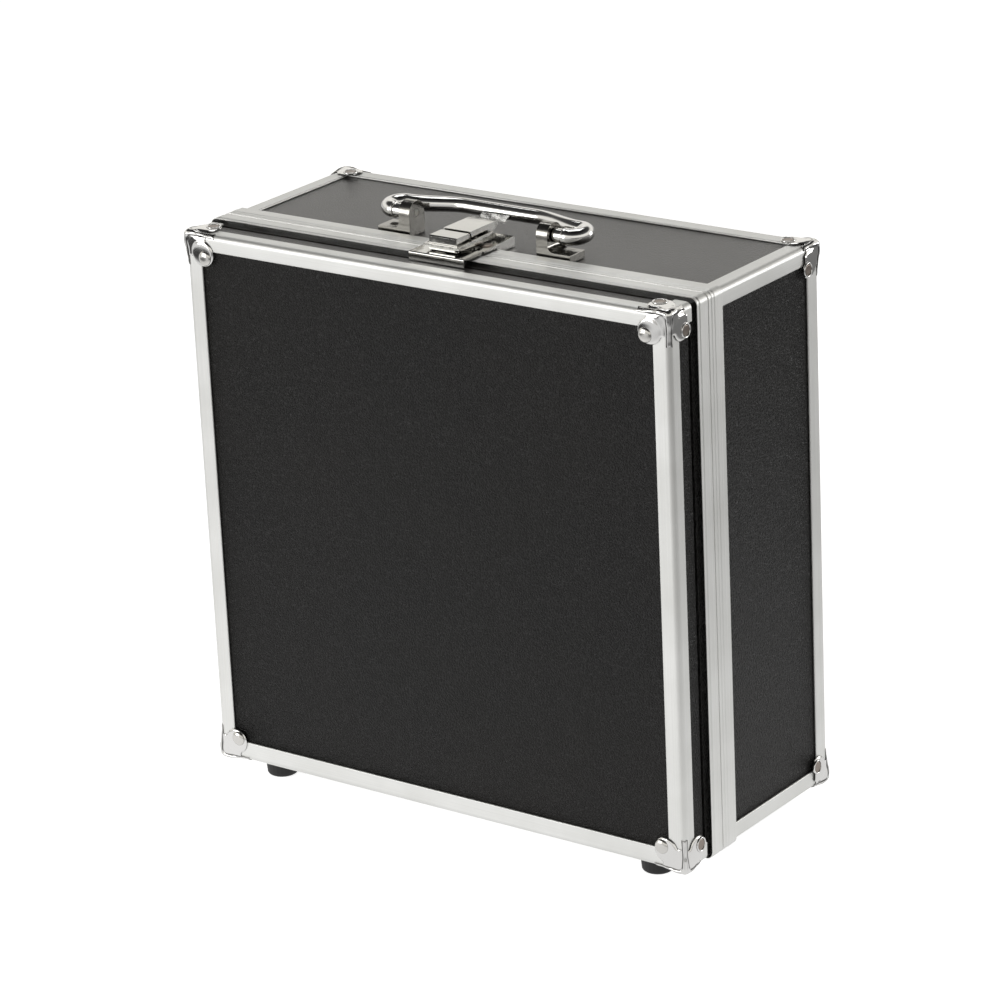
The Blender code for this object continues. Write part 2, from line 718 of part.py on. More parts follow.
def make_foot(name, x, y):
    profile = foot_profile()
    mesh = bpy.data.meshes.new(name)
    edges = [(index, index + 1) for index in range(len(profile) - 1)]
    mesh.from_pydata([(radius, 0, height) for radius, height in profile], edges, [])
    foot = add_object(name, mesh, black_rubber)
    foot.location = (x, y, 0)
    turn = foot.modifiers.new("Turn", "SCREW")
    turn.steps = FOOT_STEPS
    turn.render_steps = FOOT_STEPS
    turn.use_merge_vertices = True
    turn.merge_threshold = MERGE_DISTANCE
    turn.use_smooth_shade = True


def make_feet():
    lid_foot_y = LID_RIM_START_Y - TOUCH_GAP - FOOT_STEM_RADIUS
    rear_foot_y = BACK_Y - REAR_WALL_LEG - TOUCH_GAP - FOOT_STEM_RADIUS
    for across, side in (("left", -1), ("right", 1)):
        make_foot(f"lid_foot_{across}", side * FOOT_X, lid_foot_y)
        make_foot(f"body_foot_{across}", side * FOOT_X, rear_foot_y)


def make_leaf(name, middle_x, toward, knuckles):
    """A hinge leaf under a rim, with some of the barrel's knuckles. The leaf reaches along y."""
    high_z = HINGE_AXIS_Z + HINGE_KNUCKLE_RADIUS
    low_z = high_z - HINGE_LEAF_WALL
    start = HINGE_KNUCKLE_RADIUS + TOUCH_GAP
    near = SEAM_Y + toward * start
    far = SEAM_Y + toward * (start + HINGE_LEAF_REACH)
    low_x = middle_x - HINGE_WIDTH / 2
    leaf = box(
        name,
        (low_x, min(near, far), low_z),
        (low_x + HINGE_WIDTH, max(near, far), high_z),
        zinc_steel,
    )
    pitch = HINGE_WIDTH / HINGE_KNUCKLES
    for index in knuckles:
        left = low_x + index * pitch + TOUCH_GAP / 2
        right = left + pitch - TOUCH_GAP
        inner = SEAM_Y + toward * (start + SINK)
        strap = box(
            "strap",
            (left, min(SEAM_Y, inner), low_z + SINK / 2),
            (right, max(SEAM_Y, inner), high_z - SINK / 2),
        )
        combine(leaf, strap, "UNION")
        start_point = (left, SEAM_Y, HINGE_AXIS_Z)
        end_point = (right, SEAM_Y, HINGE_AXIS_Z)
        combine(leaf, rod("knuckle", HINGE_KNUCKLE_RADIUS, start_point, end_point, HINGE_SIDES), "UNION")
    bore = rod(
        "bore",
        HINGE_PIN_RADIUS + PIN_CLEARANCE,
        (low_x - OVERRUN, SEAM_Y, HINGE_AXIS_Z),
        (low_x + HINGE_WIDTH + OVERRUN, SEAM_Y, HINGE_AXIS_Z),
        HINGE_SIDES,
    )
    combine(leaf, bore, "DIFFERENCE")


def make_hinges():
    lid_knuckles = range(1, HINGE_KNUCKLES, 2)
    body_knuckles = range(0, HINGE_KNUCKLES, 2)
    for across, side in (("left", -1), ("right", 1)):
        middle = side * HINGE_MIDDLE_X
        make_leaf(f"hinge_lid_leaf_{across}", middle, -1, lid_knuckles)
        make_leaf(f"hinge_body_leaf_{across}", middle, 1, body_knuckles)
        rod(
            f"hinge_pin_{across}",
            HINGE_PIN_RADIUS,
            (middle - HINGE_WIDTH / 2, SEAM_Y, HINGE_AXIS_Z),
            (middle + HINGE_WIDTH / 2, SEAM_Y, HINGE_AXIS_Z),
            HINGE_SIDES,
            zinc_steel,
        )


# Handle

def make_bracket(across, side):
    """A lug with a round head on a foot that reaches outwards, with a screw head on the foot."""
    half = BRACKET_DEPTH / 2
    low_z = BOARD_TOP_Z + TOUCH_GAP
    foot_z = low_z + BRACKET_FOOT_THICKNESS
    end_x = BRACKET_INNER_X + BRACKET_FOOT_LENGTH
    outline = [(BRACKET_INNER_X, low_z), (end_x, low_z), (end_x, foot_z)]
    center = (BRACKET_OUTER_X + BRACKET_FILLET, foot_z + BRACKET_FILLET)
    outline += arc(center, BRACKET_FILLET, 270, 180, 4)
    outline.append((BRACKET_OUTER_X, HANDLE_AXIS_Z))
    outline.append((BRACKET_INNER_X, HANDLE_AXIS_Z))
    mesh = plate(f"handle_bracket_{across}", outline, BRACKET_DEPTH)
    lay_out(mesh, Y * HANDLE_AXIS_Y, side * X, Z, Y)
    bracket = add_object(f"handle_bracket_{across}", mesh, bright_chrome)
    head = rod(
        "lug_head",
        half,
        (side * BRACKET_INNER_X, HANDLE_AXIS_Y, HANDLE_AXIS_Z),
        (side * BRACKET_OUTER_X, HANDLE_AXIS_Y, HANDLE_AXIS_Z),
        32,
    )
    combine(bracket, head, "UNION")
    screw_x = side * (end_x - BRACKET_SCREW_FROM_END)
    screw = dome(
        "screw_head",
        BRACKET_SCREW_RADIUS,
        BRACKET_SCREW_RISE,
        (screw_x, HANDLE_AXIS_Y, foot_z - SINK / 2),
        Z,
        CAP_RIVET_SIDES,
    )
    combine(bracket, screw, "UNION")
    bore = rod(
        "bore",
        HANDLE_PIN_RADIUS + PIN_CLEARANCE,
        (side * (BRACKET_INNER_X - OVERRUN), HANDLE_AXIS_Y, HANDLE_AXIS_Z),
        (side * (BRACKET_OUTER_X + OVERRUN), HANDLE_AXIS_Y, HANDLE_AXIS_Z),
        HINGE_SIDES,
    )
    combine(bracket, bore, "DIFFERENCE")


def handle_route():
    """Half of the bar's centre line as (x, reach, thickness) from a boss to the middle of the grip."""
    bend_x = HANDLE_END_X + HANDLE_BOSS_LENGTH
    route = [(HANDLE_END_X, 0, 1)]
    center = (bend_x, HANDLE_BEND_RADIUS)
    for x, reach in arc(center, HANDLE_BEND_RADIUS, -90, 90, HANDLE_BEND_STEPS):
        route.append((x, reach, 1))
    near = 2 * HANDLE_BEND_RADIUS
    for step in range(1, HANDLE_BOW_STEPS + 1):
        share = step / HANDLE_BOW_STEPS
        ease = share * share * (3 - 2 * share)
        x = bend_x + (HANDLE_GRIP_HALF - bend_x) * share
        reach = near + (HANDLE_GRIP_REACH - near) * ease
        route.append((x, reach, 1 + (HANDLE_GRIP_THINNING_SHARE - 1) * ease))
    return route


def make_handle():
    half = handle_route()
    route = half + [(-x, reach, thickness) for x, reach, thickness in reversed(half)]
    curve = bpy.data.curves.new("handle_grip", "CURVE")
    curve.dimensions = "3D"
    curve.bevel_depth = HANDLE_BAR_RADIUS
    curve.bevel_resolution = 4
    curve.use_fill_caps = True
    spline = curve.splines.new("POLY")
    spline.points.add(len(route) - 1)
    for point, (x, reach, thickness) in zip(spline.points, route):
        point.co = (x, reach * math.cos(HANDLE_TILT), reach * math.sin(HANDLE_TILT), 1)
        point.radius = thickness
    mesh = curve_to_mesh("handle_grip", curve)
    shade_round(mesh, math.radians(60))
    grip = add_object("handle_grip", mesh, bright_chrome)
    grip.location = (0, HANDLE_AXIS_Y, HANDLE_AXIS_Z)
    for across, side in (("left", -1), ("right", 1)):
        make_bracket(across, side)
        pin_end = HANDLE_END_X + HANDLE_PIN_IN_BOSS
        bore = rod(
            "boss_bore",
            HANDLE_PIN_RADIUS + PIN_CLEARANCE,
            (side * (HANDLE_END_X - OVERRUN), HANDLE_AXIS_Y, HANDLE_AXIS_Z),
            (side * (pin_end + TOUCH_GAP), HANDLE_AXIS_Y, HANDLE_AXIS_Z),
            HINGE_SIDES,
        )
        combine(grip, bore, "DIFFERENCE")
        rod(
            f"handle_pin_{across}",
            HANDLE_PIN_RADIUS,
            (side * BRACKET_INNER_X, HANDLE_AXIS_Y, HANDLE_AXIS_Z),
            (side * pin_end, HANDLE_AXIS_Y, HANDLE_AXIS_Z),
            HINGE_SIDES,
            zinc_steel,
        )


# Latch

def make_keeper():
    """A folded plate over the lid's rim, with a skirt down to the board and a low catching ridge."""
    rear = LID_RIM_Y - TOUCH_GAP
    front = rear - KEEPER_DEPTH
    low = RIM_TOP_Z + TOUCH_GAP
    top = low + KEEPER_RISE
    under = top - LATCH_SHEET
    foot = BOARD_TOP_Z + TOUCH_GAP
    outline = [
        (front, foot),
        (front, top - LATCH_SHEET / 2),
        (front + LATCH_SHEET / 2, top),
        (rear, top),
        (rear, low),
        (rear - LATCH_SHEET, low),
        (rear - LATCH_SHEET, under),
        (front + LATCH_SHEET, under),
        (front + LATCH_SHEET, foot),
    ]
    keeper = side_plate(
        "latch_keeper_plate", outline, -LATCH_HALF_WIDTH, LATCH_HALF_WIDTH, bright_chrome
    )
    for side in (-1, 1):
        inner = side * (LATCH_HALF_WIDTH - LATCH_SHEET)
        outer = side * LATCH_HALF_WIDTH
        flange = box(
            "flange",
            (min(inner, outer), front + SINK, low),
            (max(inner, outer), rear - SINK, top - SINK / 2),
        )
        combine(keeper, flange, "UNION")
    ridge_y = front + KEEPER_RIDGE_FROM_FRONT
    ridge = box(
        "ridge",
        (-HOOK_CLAW_HALF_WIDTH, ridge_y, top - SINK),
        (HOOK_CLAW_HALF_WIDTH, ridge_y + KEEPER_RIDGE_WIDTH, top + KEEPER_RIDGE_RISE),
    )
    combine(keeper, ridge, "UNION")


def base_height(y):
    """The base plate's top, which rises from the seam to its rear edge."""
    front = BODY_RIM_Y + BASE_FRONT_GAP
    share = (y - front) / BASE_DEPTH
    return RIM_TOP_Z + TOUCH_GAP + BASE_FRONT_RISE + (BASE_REAR_RISE - BASE_FRONT_RISE) * share


def make_base():
    """A pressed tray over the body's rim and the top board, with rivets and the lever's ears."""
    front = BODY_RIM_Y + BASE_FRONT_GAP
    rear = front + BASE_DEPTH
    behind_rim = BODY_RIM_END_Y + TOUCH_GAP
    foot = BOARD_TOP_Z + TOUCH_GAP
    over_rim = RIM_TOP_Z + TOUCH_GAP
    outline = [
        (front, over_rim),
        (front, base_height(front)),
        (rear - LATCH_SHEET / 2, base_height(rear)),
        (rear, base_height(rear) - LATCH_SHEET / 2),
        (rear, foot),
        (behind_rim, foot),
        (behind_rim, over_rim),
    ]
    base = side_plate("latch_base_plate", outline, -LATCH_HALF_WIDTH, LATCH_HALF_WIDTH, bright_chrome)
    hollow_front = behind_rim + LATCH_SHEET
    hollow_rear = rear - LATCH_SHEET
    hollow = side_plate(
        "hollow",
        [
            (hollow_front, foot - OVERRUN),
            (hollow_front, base_height(hollow_front) - LATCH_SHEET),
            (hollow_rear, base_height(hollow_rear) - LATCH_SHEET),
            (hollow_rear, foot - OVERRUN),
        ],
        LATCH_SHEET - LATCH_HALF_WIDTH,
        LATCH_HALF_WIDTH - LATCH_SHEET,
    )
    combine(base, hollow, "DIFFERENCE")
    rivet_y = SEAM_Y + BASE_RIVET_BEHIND_SEAM
    for side in (-1, 1):
        rivet = dome(
            "rivet",
            BASE_RIVET_RADIUS,
            BASE_RIVET_RISE,
            (side * BASE_RIVET_FROM_MIDDLE, rivet_y, base_height(rivet_y) - SINK / 2),
            Z,
            LATCH_PIN_SIDES,
        )
        combine(base, rivet, "UNION")
        ear_low = base_height(LEVER_AXIS_Y - EAR_RADIUS) - SINK
        ear = [(LEVER_AXIS_Y - EAR_RADIUS, ear_low), (LEVER_AXIS_Y + EAR_RADIUS, ear_low)]
        ear += arc((LEVER_AXIS_Y, LEVER_AXIS_Z), EAR_RADIUS, 0, 180, 8)
        inner = side * EAR_INNER_X
        outer = side * EAR_OUTER_X
        combine(base, side_plate("ear", ear, min(inner, outer), max(inner, outer)), "UNION")
    bore = rod(
        "bore",
        LATCH_PIN_RADIUS + PIN_CLEARANCE,
        (-EAR_OUTER_X - OVERRUN, LEVER_AXIS_Y, LEVER_AXIS_Z),
        (EAR_OUTER_X + OVERRUN, LEVER_AXIS_Y, LEVER_AXIS_Z),
        LATCH_PIN_SIDES,
    )
    combine(base, bore, "DIFFERENCE")
    pin_reach = EAR_OUTER_X + LATCH_SIDE_GAP / 2
    rod(
        "latch_lever_pin",
        LATCH_PIN_RADIUS,
        (-pin_reach, LEVER_AXIS_Y, LEVER_AXIS_Z),
        (pin_reach, LEVER_AXIS_Y, LEVER_AXIS_Z),
        LATCH_PIN_SIDES,
        zinc_steel,
    )


def pin_hole(axis_y):
    reach = ARM_OUTER_X + OVERRUN
    return rod(
        "pin_hole",
        LATCH_PIN_RADIUS + PIN_CLEARANCE,
        (-reach, axis_y, LEVER_AXIS_Z),
        (reach, axis_y, LEVER_AXIS_Z),
        LATCH_PIN_SIDES,
    )


def make_lever():
    """A folded plate with two side skirts that hold both pins, ending in a dished thumb tab."""
    top = LEVER_AXIS_Z + LEVER_TOP_ABOVE_AXIS
    front = LEVER_AXIS_Y - LEVER_FRONT_REACH
    rear = front + LEVER_PLATE_LENGTH
    dip_y = rear + LEVER_TAB_DIP_LENGTH
    tip_y = dip_y + LEVER_TAB_LENGTH
    dip_z = top - LEVER_TAB_DIP
    tip_z = dip_z + LEVER_TAB_LIFT
    outline = [
        (front, top),
        (rear, top),
        (dip_y, dip_z),
        (tip_y, tip_z),
        (tip_y + SINK, tip_z - LATCH_SHEET),
        (dip_y, dip_z - LATCH_SHEET),
        (rear, top - LATCH_SHEET),
        (front, top - LATCH_SHEET),
    ]
    lever = side_plate("latch_lever", outline, -LEVER_HALF_WIDTH, LEVER_HALF_WIDTH, bright_chrome)
    skirt = [(front + SINK, top - SINK)]
    skirt += arc((LEVER_AXIS_Y, LEVER_AXIS_Z), LEVER_LOBE_RADIUS, 180, 270, 4)
    skirt += arc((HOOK_AXIS_Y, LEVER_AXIS_Z), LEVER_LOBE_RADIUS, 270, 330, 3)
    skirt.append((rear, top - 2 * LATCH_SHEET))
    skirt.append((rear, top - SINK))
    for side in (-1, 1):
        inner = side * (LEVER_HALF_WIDTH - LATCH_SHEET)
        outer = side * (LEVER_HALF_WIDTH - SINK / 10)
        combine(lever, side_plate("skirt", skirt, min(inner, outer), max(inner, outer)), "UNION")
    combine(lever, pin_hole(LEVER_AXIS_Y), "DIFFERENCE")
    combine(lever, pin_hole(HOOK_AXIS_Y), "DIFFERENCE")


def make_hook():
    """A front plate with a raised block and a claw, on two arms that reach back to the hook's pin."""
    front = LEVER_AXIS_Y - HOOK_FRONT_REACH
    rear = LEVER_AXIS_Y - LEVER_FRONT_REACH - HOOK_REAR_CLEAR
    low = LEVER_AXIS_Z - HOOK_PLATE_BELOW_AXIS
    high = low + HOOK_PLATE_WALL
    hook = box("latch_hook", (-ARM_OUTER_X, front, low), (ARM_OUTER_X, rear, high), bright_chrome)
    block_front = front + HOOK_BLOCK_SETBACK
    block_top = high + HOOK_BLOCK_HEIGHT
    block = [
        (block_front, high - SINK),
        (block_front, block_top - HOOK_BLOCK_CHAMFER),
        (block_front + HOOK_BLOCK_CHAMFER, block_top),
        (rear - SINK, block_top),
        (rear - SINK, high - SINK),
    ]
    combine(hook, side_plate("block", block, -HOOK_BLOCK_HALF_WIDTH, HOOK_BLOCK_HALF_WIDTH), "UNION")
    claw = box(
        "claw",
        (-HOOK_CLAW_HALF_WIDTH, front + SINK, low - HOOK_CLAW_DEPTH),
        (HOOK_CLAW_HALF_WIDTH, front + SINK + HOOK_CLAW_WALL, low + SINK),
    )
    combine(hook, claw, "UNION")
    arm_front = front + HOOK_BLOCK_SETBACK
    arm = [(arm_front, high + SINK / 5), (arm_front, low - SINK)]
    arm += arc((HOOK_AXIS_Y, LEVER_AXIS_Z), HOOK_ARM_RADIUS, 270, 450, 8)
    arm.append((rear, high + HOOK_ARM_FRONT_RISE))
    for side in (-1, 1):
        inner = side * ARM_INNER_X
        outer = side * (ARM_OUTER_X - SINK / 10)
        combine(hook, side_plate("arm", arm, min(inner, outer), max(inner, outer)), "UNION")
    combine(hook, pin_hole(HOOK_AXIS_Y), "DIFFERENCE")
    pin_reach = ARM_OUTER_X + TOUCH_GAP
    rod(
        "latch_hook_pin",
        LATCH_PIN_RADIUS,
        (-pin_reach, HOOK_AXIS_Y, LEVER_AXIS_Z),
        (pin_reach, HOOK_AXIS_Y, LEVER_AXIS_Z),
        LATCH_PIN_SIDES,
        zinc_steel,
    )


def put_on_axis(names, place):
    """Gives moving pieces a parent empty on their joint's axis."""
    pivot = bpy.data.objects.new(names[0] + "_axis", None)
    pivot.location = place
    case_parts.objects.link(pivot)
    bpy.context.view_layer.update()
    for name in names:
        piece = bpy.data.objects[name]
        world = piece.matrix_world.copy()
        piece.parent = pivot
        piece.matrix_parent_inverse = pivot.matrix_world.inverted()
        piece.matrix_world = world


def make_axes():
    lid_names = [obj.name for obj in case_parts.objects if obj.name.startswith(("lid_", "hinge_lid_"))]
    lid_names.append("latch_keeper_plate")
    put_on_axis(lid_names, (0, SEAM_Y, HINGE_AXIS_Z))
    put_on_axis(["handle_grip"], (0, HANDLE_AXIS_Y, HANDLE_AXIS_Z))
    put_on_axis(["latch_lever"], (0, LEVER_AXIS_Y, LEVER_AXIS_Z))
    put_on_axis(["latch_hook", "latch_hook_pin"], (0, HOOK_AXIS_Y, LEVER_AXIS_Z))


make_boards()
make_profiles()
make_rims()
make_linings()
make_caps()
make_feet()
make_hinges()
make_handle()
make_keeper()
make_base()
make_lever()
make_hook()
make_axes()
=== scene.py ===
# An aluminium-framed carrying case, dressed for its studio picture.
# Metres, +Z up. The lid faces -Y, and every piece sits where its CAD body says.
import json
import math

import bmesh
import bpy
import numpy as np
from mathutils import Matrix, Vector


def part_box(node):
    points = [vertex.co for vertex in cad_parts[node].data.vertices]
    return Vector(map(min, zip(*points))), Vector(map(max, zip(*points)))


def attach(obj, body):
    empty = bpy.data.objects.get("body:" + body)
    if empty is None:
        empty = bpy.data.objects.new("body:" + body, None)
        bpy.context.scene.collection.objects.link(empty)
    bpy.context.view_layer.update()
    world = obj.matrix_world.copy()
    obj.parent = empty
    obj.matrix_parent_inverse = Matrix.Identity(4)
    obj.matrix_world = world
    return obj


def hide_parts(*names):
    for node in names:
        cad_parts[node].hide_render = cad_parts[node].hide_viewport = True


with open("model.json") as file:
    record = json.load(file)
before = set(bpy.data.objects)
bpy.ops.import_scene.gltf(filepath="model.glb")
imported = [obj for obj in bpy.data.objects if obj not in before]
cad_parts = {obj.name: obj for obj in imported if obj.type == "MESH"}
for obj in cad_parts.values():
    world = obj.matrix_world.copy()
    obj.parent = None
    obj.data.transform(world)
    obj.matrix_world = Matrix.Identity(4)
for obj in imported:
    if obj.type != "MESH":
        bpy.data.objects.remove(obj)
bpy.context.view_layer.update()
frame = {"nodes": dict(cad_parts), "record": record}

mm = 0.001


# Small tools

def feed(tree, node, inputs):
    # links each input to a socket, or gives it a value
    for key, value in inputs.items():
        socket = node.inputs[key]
        if isinstance(value, bpy.types.NodeSocket):
            tree.links.new(value, socket)
        else:
            socket.default_value = value


def addNode(tree, kind, inputs=None, **settings):
    node = tree.nodes.new(kind)
    for key, value in settings.items():
        setattr(node, key, value)
    feed(tree, node, inputs or {})
    return node


def fromHex(text):
    # sRGB hex to a linear colour
    parts = [int(text[i:i + 2], 16) / 255 for i in (1, 3, 5)]
    linear = [p / 12.92 if p <= 0.04045 else ((p + 0.055) / 1.055) ** 2.4 for p in parts]
    return (*linear, 1)


def newObject(name, mesh, finish=None):
    obj = bpy.data.objects.new(name, mesh)
    bpy.context.scene.collection.objects.link(obj)
    if finish:
        mesh.materials.append(finish)
    return obj


def meshFrom(name, shape, recalculate=True):
    if recalculate:
        bmesh.ops.recalc_face_normals(shape, faces=shape.faces)
    mesh = bpy.data.meshes.new(name)
    shape.to_mesh(mesh)
    shape.free()
    return mesh


def smooth(mesh, degrees):
    mesh.shade_smooth()
    mesh.set_sharp_from_angle(angle=math.radians(degrees))
    return mesh


def ease(x, low, high):
    t = np.clip((x - low) / (high - low), 0, 1)
    return t * t * (3 - 2 * t)


def bake(obj):
    # applies the live modifiers, so that the object is a plain mesh
    bpy.context.view_layer.update()
    graph = bpy.context.evaluated_depsgraph_get()
    mesh = bpy.data.meshes.new_from_object(obj.evaluated_get(graph))
    mesh.name = obj.name
    obj.modifiers.clear()
    obj.data = mesh
    return obj


# Where the case's faces are, read from the frame

faces = {
    "front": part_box("lid_edge_top")[0].y,
    "back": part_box("rear_edge_top")[1].y,
    "side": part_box("lid_edge_right")[1].x,
    "top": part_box("lid_edge_top")[1].z,
    "bottom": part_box("lid_edge_bottom")[0].z,
}
caseMiddle = (faces["top"] + faces["bottom"]) / 2
print("frame read:", len(frame["nodes"]), "nodes")


# Camera, at the photograph's place and angle

cameraValues = {
    "place": (1.391548, -1.8852, 1.036583),
    "right": (0.811784, 0.582355, -0.043243),
    "down": (0.166553, -0.301873, -0.938687),
    "forward": (-0.559703, 0.754809, -0.342048),
    "lens": 152.0416,
    "sensor": 36.0,
}


def makeCamera(values):
    data = bpy.data.cameras.new("camera")
    data.lens = values["lens"]
    data.sensor_width = values["sensor"]
    camera = bpy.data.objects.new("camera", data)
    bpy.context.scene.collection.objects.link(camera)
    axes = (values["right"], [-v for v in values["down"]], [-v for v in values["forward"]])
    camera.matrix_world = Matrix.Translation(values["place"]) @ Matrix(axes).transposed().to_4x4()
    bpy.context.scene.camera = camera


makeCamera(cameraValues)


# Shader nodes that many materials share

def material(name):
    made = bpy.data.materials.new(name)
    made.use_nodes = True
    tree = made.node_tree
    return made, tree, tree.nodes["Principled BSDF"]


def objectPlace(tree):
    return addNode(tree, "ShaderNodeTexCoord").outputs["Object"]


def noise(tree, place, scale, detail, roughness):
    given = {"Vector": place, "Scale": scale, "Detail": detail, "Roughness": roughness}
    return addNode(tree, "ShaderNodeTexNoise", given).outputs


def remap(tree, value, source=(0.0, 1.0), target=(0.0, 1.0), **settings):
    # value, which runs over the source range, stretched to the target range
    given = {"Value": value, "From Min": source[0], "From Max": source[1]}
    given.update({"To Min": target[0], "To Max": target[1]})
    return addNode(tree, "ShaderNodeMapRange", given, **settings).outputs[0]


def calculate(tree, operation, *values):
    return addNode(tree, "ShaderNodeMath", dict(enumerate(values)), operation=operation).outputs[0]


def ramp(tree, value, stops, interpolation="LINEAR"):
    # colours along a value, from (position, hex) stops
    node = addNode(tree, "ShaderNodeValToRGB", {"Fac": value})
    node.color_ramp.interpolation = interpolation
    elements = node.color_ramp.elements
    for k, (position, colour) in enumerate(stops):
        stop = elements[k] if k < 2 else elements.new(position)
        stop.position = position
        stop.color = fromHex(colour)
    return node.outputs["Color"]


def bump(tree, height, strength, depth):
    given = {"Height": height, "Strength": strength, "Distance": depth * mm}
    return addNode(tree, "ShaderNodeBump", given).outputs["Normal"]


def raysOf(tree):
    # the kinds of ray, and 1 for those that a piece mirrors or lets through
    rays = addNode(tree, "ShaderNodeLightPath").outputs
    return rays, calculate(tree, "MAXIMUM", rays["Is Glossy Ray"], rays["Is Transmission Ray"])


# Studio: white sweep, soft lamps

studioValues = {
    "floorSize": 60.0,
    "floorColour": "#E6E6E4",
    "floorRoughness": 0.9,
    "cameraGlow": 0.86,     # added to the lit floor where the camera sees it, up to white
    # the floor as the case mirrors it: its brighter and its darker side, near the case and far off
    "nearGlow": (1.04, 0.84),
    "farGlow": (0.8, 0.2),
    "darkSide": (0.95, 0.3, 0.0),   # direction from the case to the darker side
    "nearSpan": (-0.2, 0.3),        # metres that way, from bright to dark near the case
    "farSpan": (-0.7, 0.7),         # and far off
    "glowReach": (0.2, 1.0),        # metres from the case, from near to far
    # dark spots that the case mirrors: middle, inner and outer reach, how much light stays
    "darkSpots": (((-1.0, -0.98, 0.0), 0.32, 0.65, 0.06), ((0.6, -1.2, 0.0), 0.12, 0.4, 0.1)),
    # what the case mirrors and is lit by: sine of the elevation, colour
    "backdrop": (
        (0.0, "#B4B3B0"), (0.2, "#FFFDF8"), (0.46, "#FFFDF8"), (0.62, "#484848"), (1.0, "#161616"),
    ),
    "backdropStrength": 1.0,
    "fillStrength": 0.6,
    # name, place, size, watts
    "lamps": (
        ("key softbox", (-1.4, -2.1, 0.75), 1.3, 19.0),
        ("side softbox", (1.7, 2.0, 0.5), 0.8, 12.0),
        ("top softbox", (-0.6, 0.8, 2.3), 1.2, 10.0),
    ),
}


def makeWorld(values):
    world = bpy.data.worlds.new("studio")
    bpy.context.scene.world = world
    world.use_nodes = True
    tree = world.node_tree
    place = addNode(tree, "ShaderNodeTexCoord").outputs["Generated"]
    height = addNode(tree, "ShaderNodeSeparateXYZ", {"Vector": place}).outputs["Z"]
    backdrop = ramp(tree, height, values["backdrop"], "EASE")
    rays, mirrored = raysOf(tree)
    camera = rays["Is Camera Ray"]
    colour = addNode(tree, "ShaderNodeMixRGB", {"Fac": camera, "Color1": backdrop, "Color2": (1, 1, 1, 1)})
    seen = calculate(tree, "MAXIMUM", camera, mirrored)
    strength = remap(tree, seen, target=(values["fillStrength"], values["backdropStrength"]))
    feed(tree, tree.nodes["Background"], {"Color": colour.outputs[0], "Strength": strength})


def floorMirrored(tree, values):
    # how bright the floor is in reflections
    def measured(operation, *points):
        node = addNode(tree, "ShaderNodeVectorMath", dict(enumerate(points)), operation=operation)
        return node.outputs["Value"]

    place = objectPlace(tree)
    sideways = measured("DOT_PRODUCT", place, values["darkSide"])
    near = remap(tree, sideways, values["nearSpan"], values["nearGlow"])
    far = remap(tree, sideways, values["farSpan"], values["farGlow"])
    soft = {"interpolation_type": "SMOOTHSTEP"}
    mirror = remap(tree, measured("LENGTH", place), values["glowReach"], (near, far), **soft)
    for middle, inner, outer, left in values["darkSpots"]:
        kept = remap(tree, measured("DISTANCE", place, middle), (inner, outer), (left, 1.0), **soft)
        mirror = calculate(tree, "MULTIPLY", mirror, kept)
    return mirror


def makeFloor(values):
    # Matt white paint: plain diffuse, with a glow so that it reads as white in the picture and in mirrors.
    painted, tree, shader = material("white studio floor")
    feed(tree, shader, {
        "Base Color": fromHex(values["floorColour"]),
        "Roughness": values["floorRoughness"],
        "Specular IOR Level": 0.0,
    })
    rays, mirrored = raysOf(tree)
    glow = calculate(tree, "MULTIPLY", rays["Is Camera Ray"], values["cameraGlow"])
    lamp = addNode(tree, "ShaderNodeEmission", {"Strength": glow})
    lit = addNode(tree, "ShaderNodeAddShader", {0: shader.outputs[0], 1: lamp.outputs[0]})
    image = addNode(tree, "ShaderNodeEmission", {"Strength": floorMirrored(tree, values)})
    both = addNode(tree, "ShaderNodeMixShader", {0: mirrored, 1: lit.outputs[0], 2: image.outputs[0]})
    feed(tree, tree.nodes["Material Output"], {"Surface": both.outputs[0]})
    shape = bmesh.new()
    bmesh.ops.create_grid(shape, x_segments=1, y_segments=1, size=values["floorSize"] / 2)
    newObject("floor", meshFrom("floor", shape, False), painted)


def makeLamps(values):
    target = Vector((0, 0, caseMiddle))
    for name, place, size, watts in values["lamps"]:
        data = bpy.data.lights.new(name, "AREA")
        data.shape = "SQUARE"
        data.size = size
        data.energy = watts
        lamp = bpy.data.objects.new(name, data)
        bpy.context.scene.collection.objects.link(lamp)
        lamp.location = place
        lamp.rotation_euler = (target - Vector(place)).to_track_quat("-Z", "Y").to_euler()


makeWorld(studioValues)
makeFloor(studioValues)
makeLamps(studioValues)
bpy.context.scene.view_settings.view_transform = "Standard"
print("studio set")


# Finishes. A noise is its scale per metre, detail and roughness, a relief its strength and depth in mm,
# and colours are stops along a noise.

filmValues = {
    "colours": ((0.35, "#100F0E"), (0.75, "#191715")),
    "roughness": (0.32, 0.44),
    "handling": (9.0, 4.0, 0.6),
    "gloss": 0.27,
    "refraction": 1.46,
    "sheen": 0.12,
    "sheenRoughness": 0.25,
    "grain": 1.9,               # mm from crease to crease
    "creaseShare": 0.22,        # of the grain, that slopes down to a crease
    "warp": (420.0, 2.0, 0.5),
    "warpReach": 1.2,           # mm by which it bends the creases
    "pores": (1 / (0.45 * mm), 3.0, 0.5),
    "poreShare": 0.5,           # of the creases' depth
    "relief": (1.0, 0.3),
}
# the same film for the top faces: shallower grain, more gloss and a colour painted lighter for the light that
# the top reflects; and a copy of it with less gloss, so that the lid's strip reads darker, as painted shade
# from the rim
litTopFilmValues = dict(
    filmValues,
    # colours painted lighter, for the light that the top faces reflect
    colours=((0.35, "#24211E"), (0.75, "#2B2825")),
    relief=(1.0, 0.07),
    gloss=0.95,
    roughness=(0.27, 0.36),
)
rimShadedTopFilmValues = dict(litTopFilmValues, gloss=0.68)


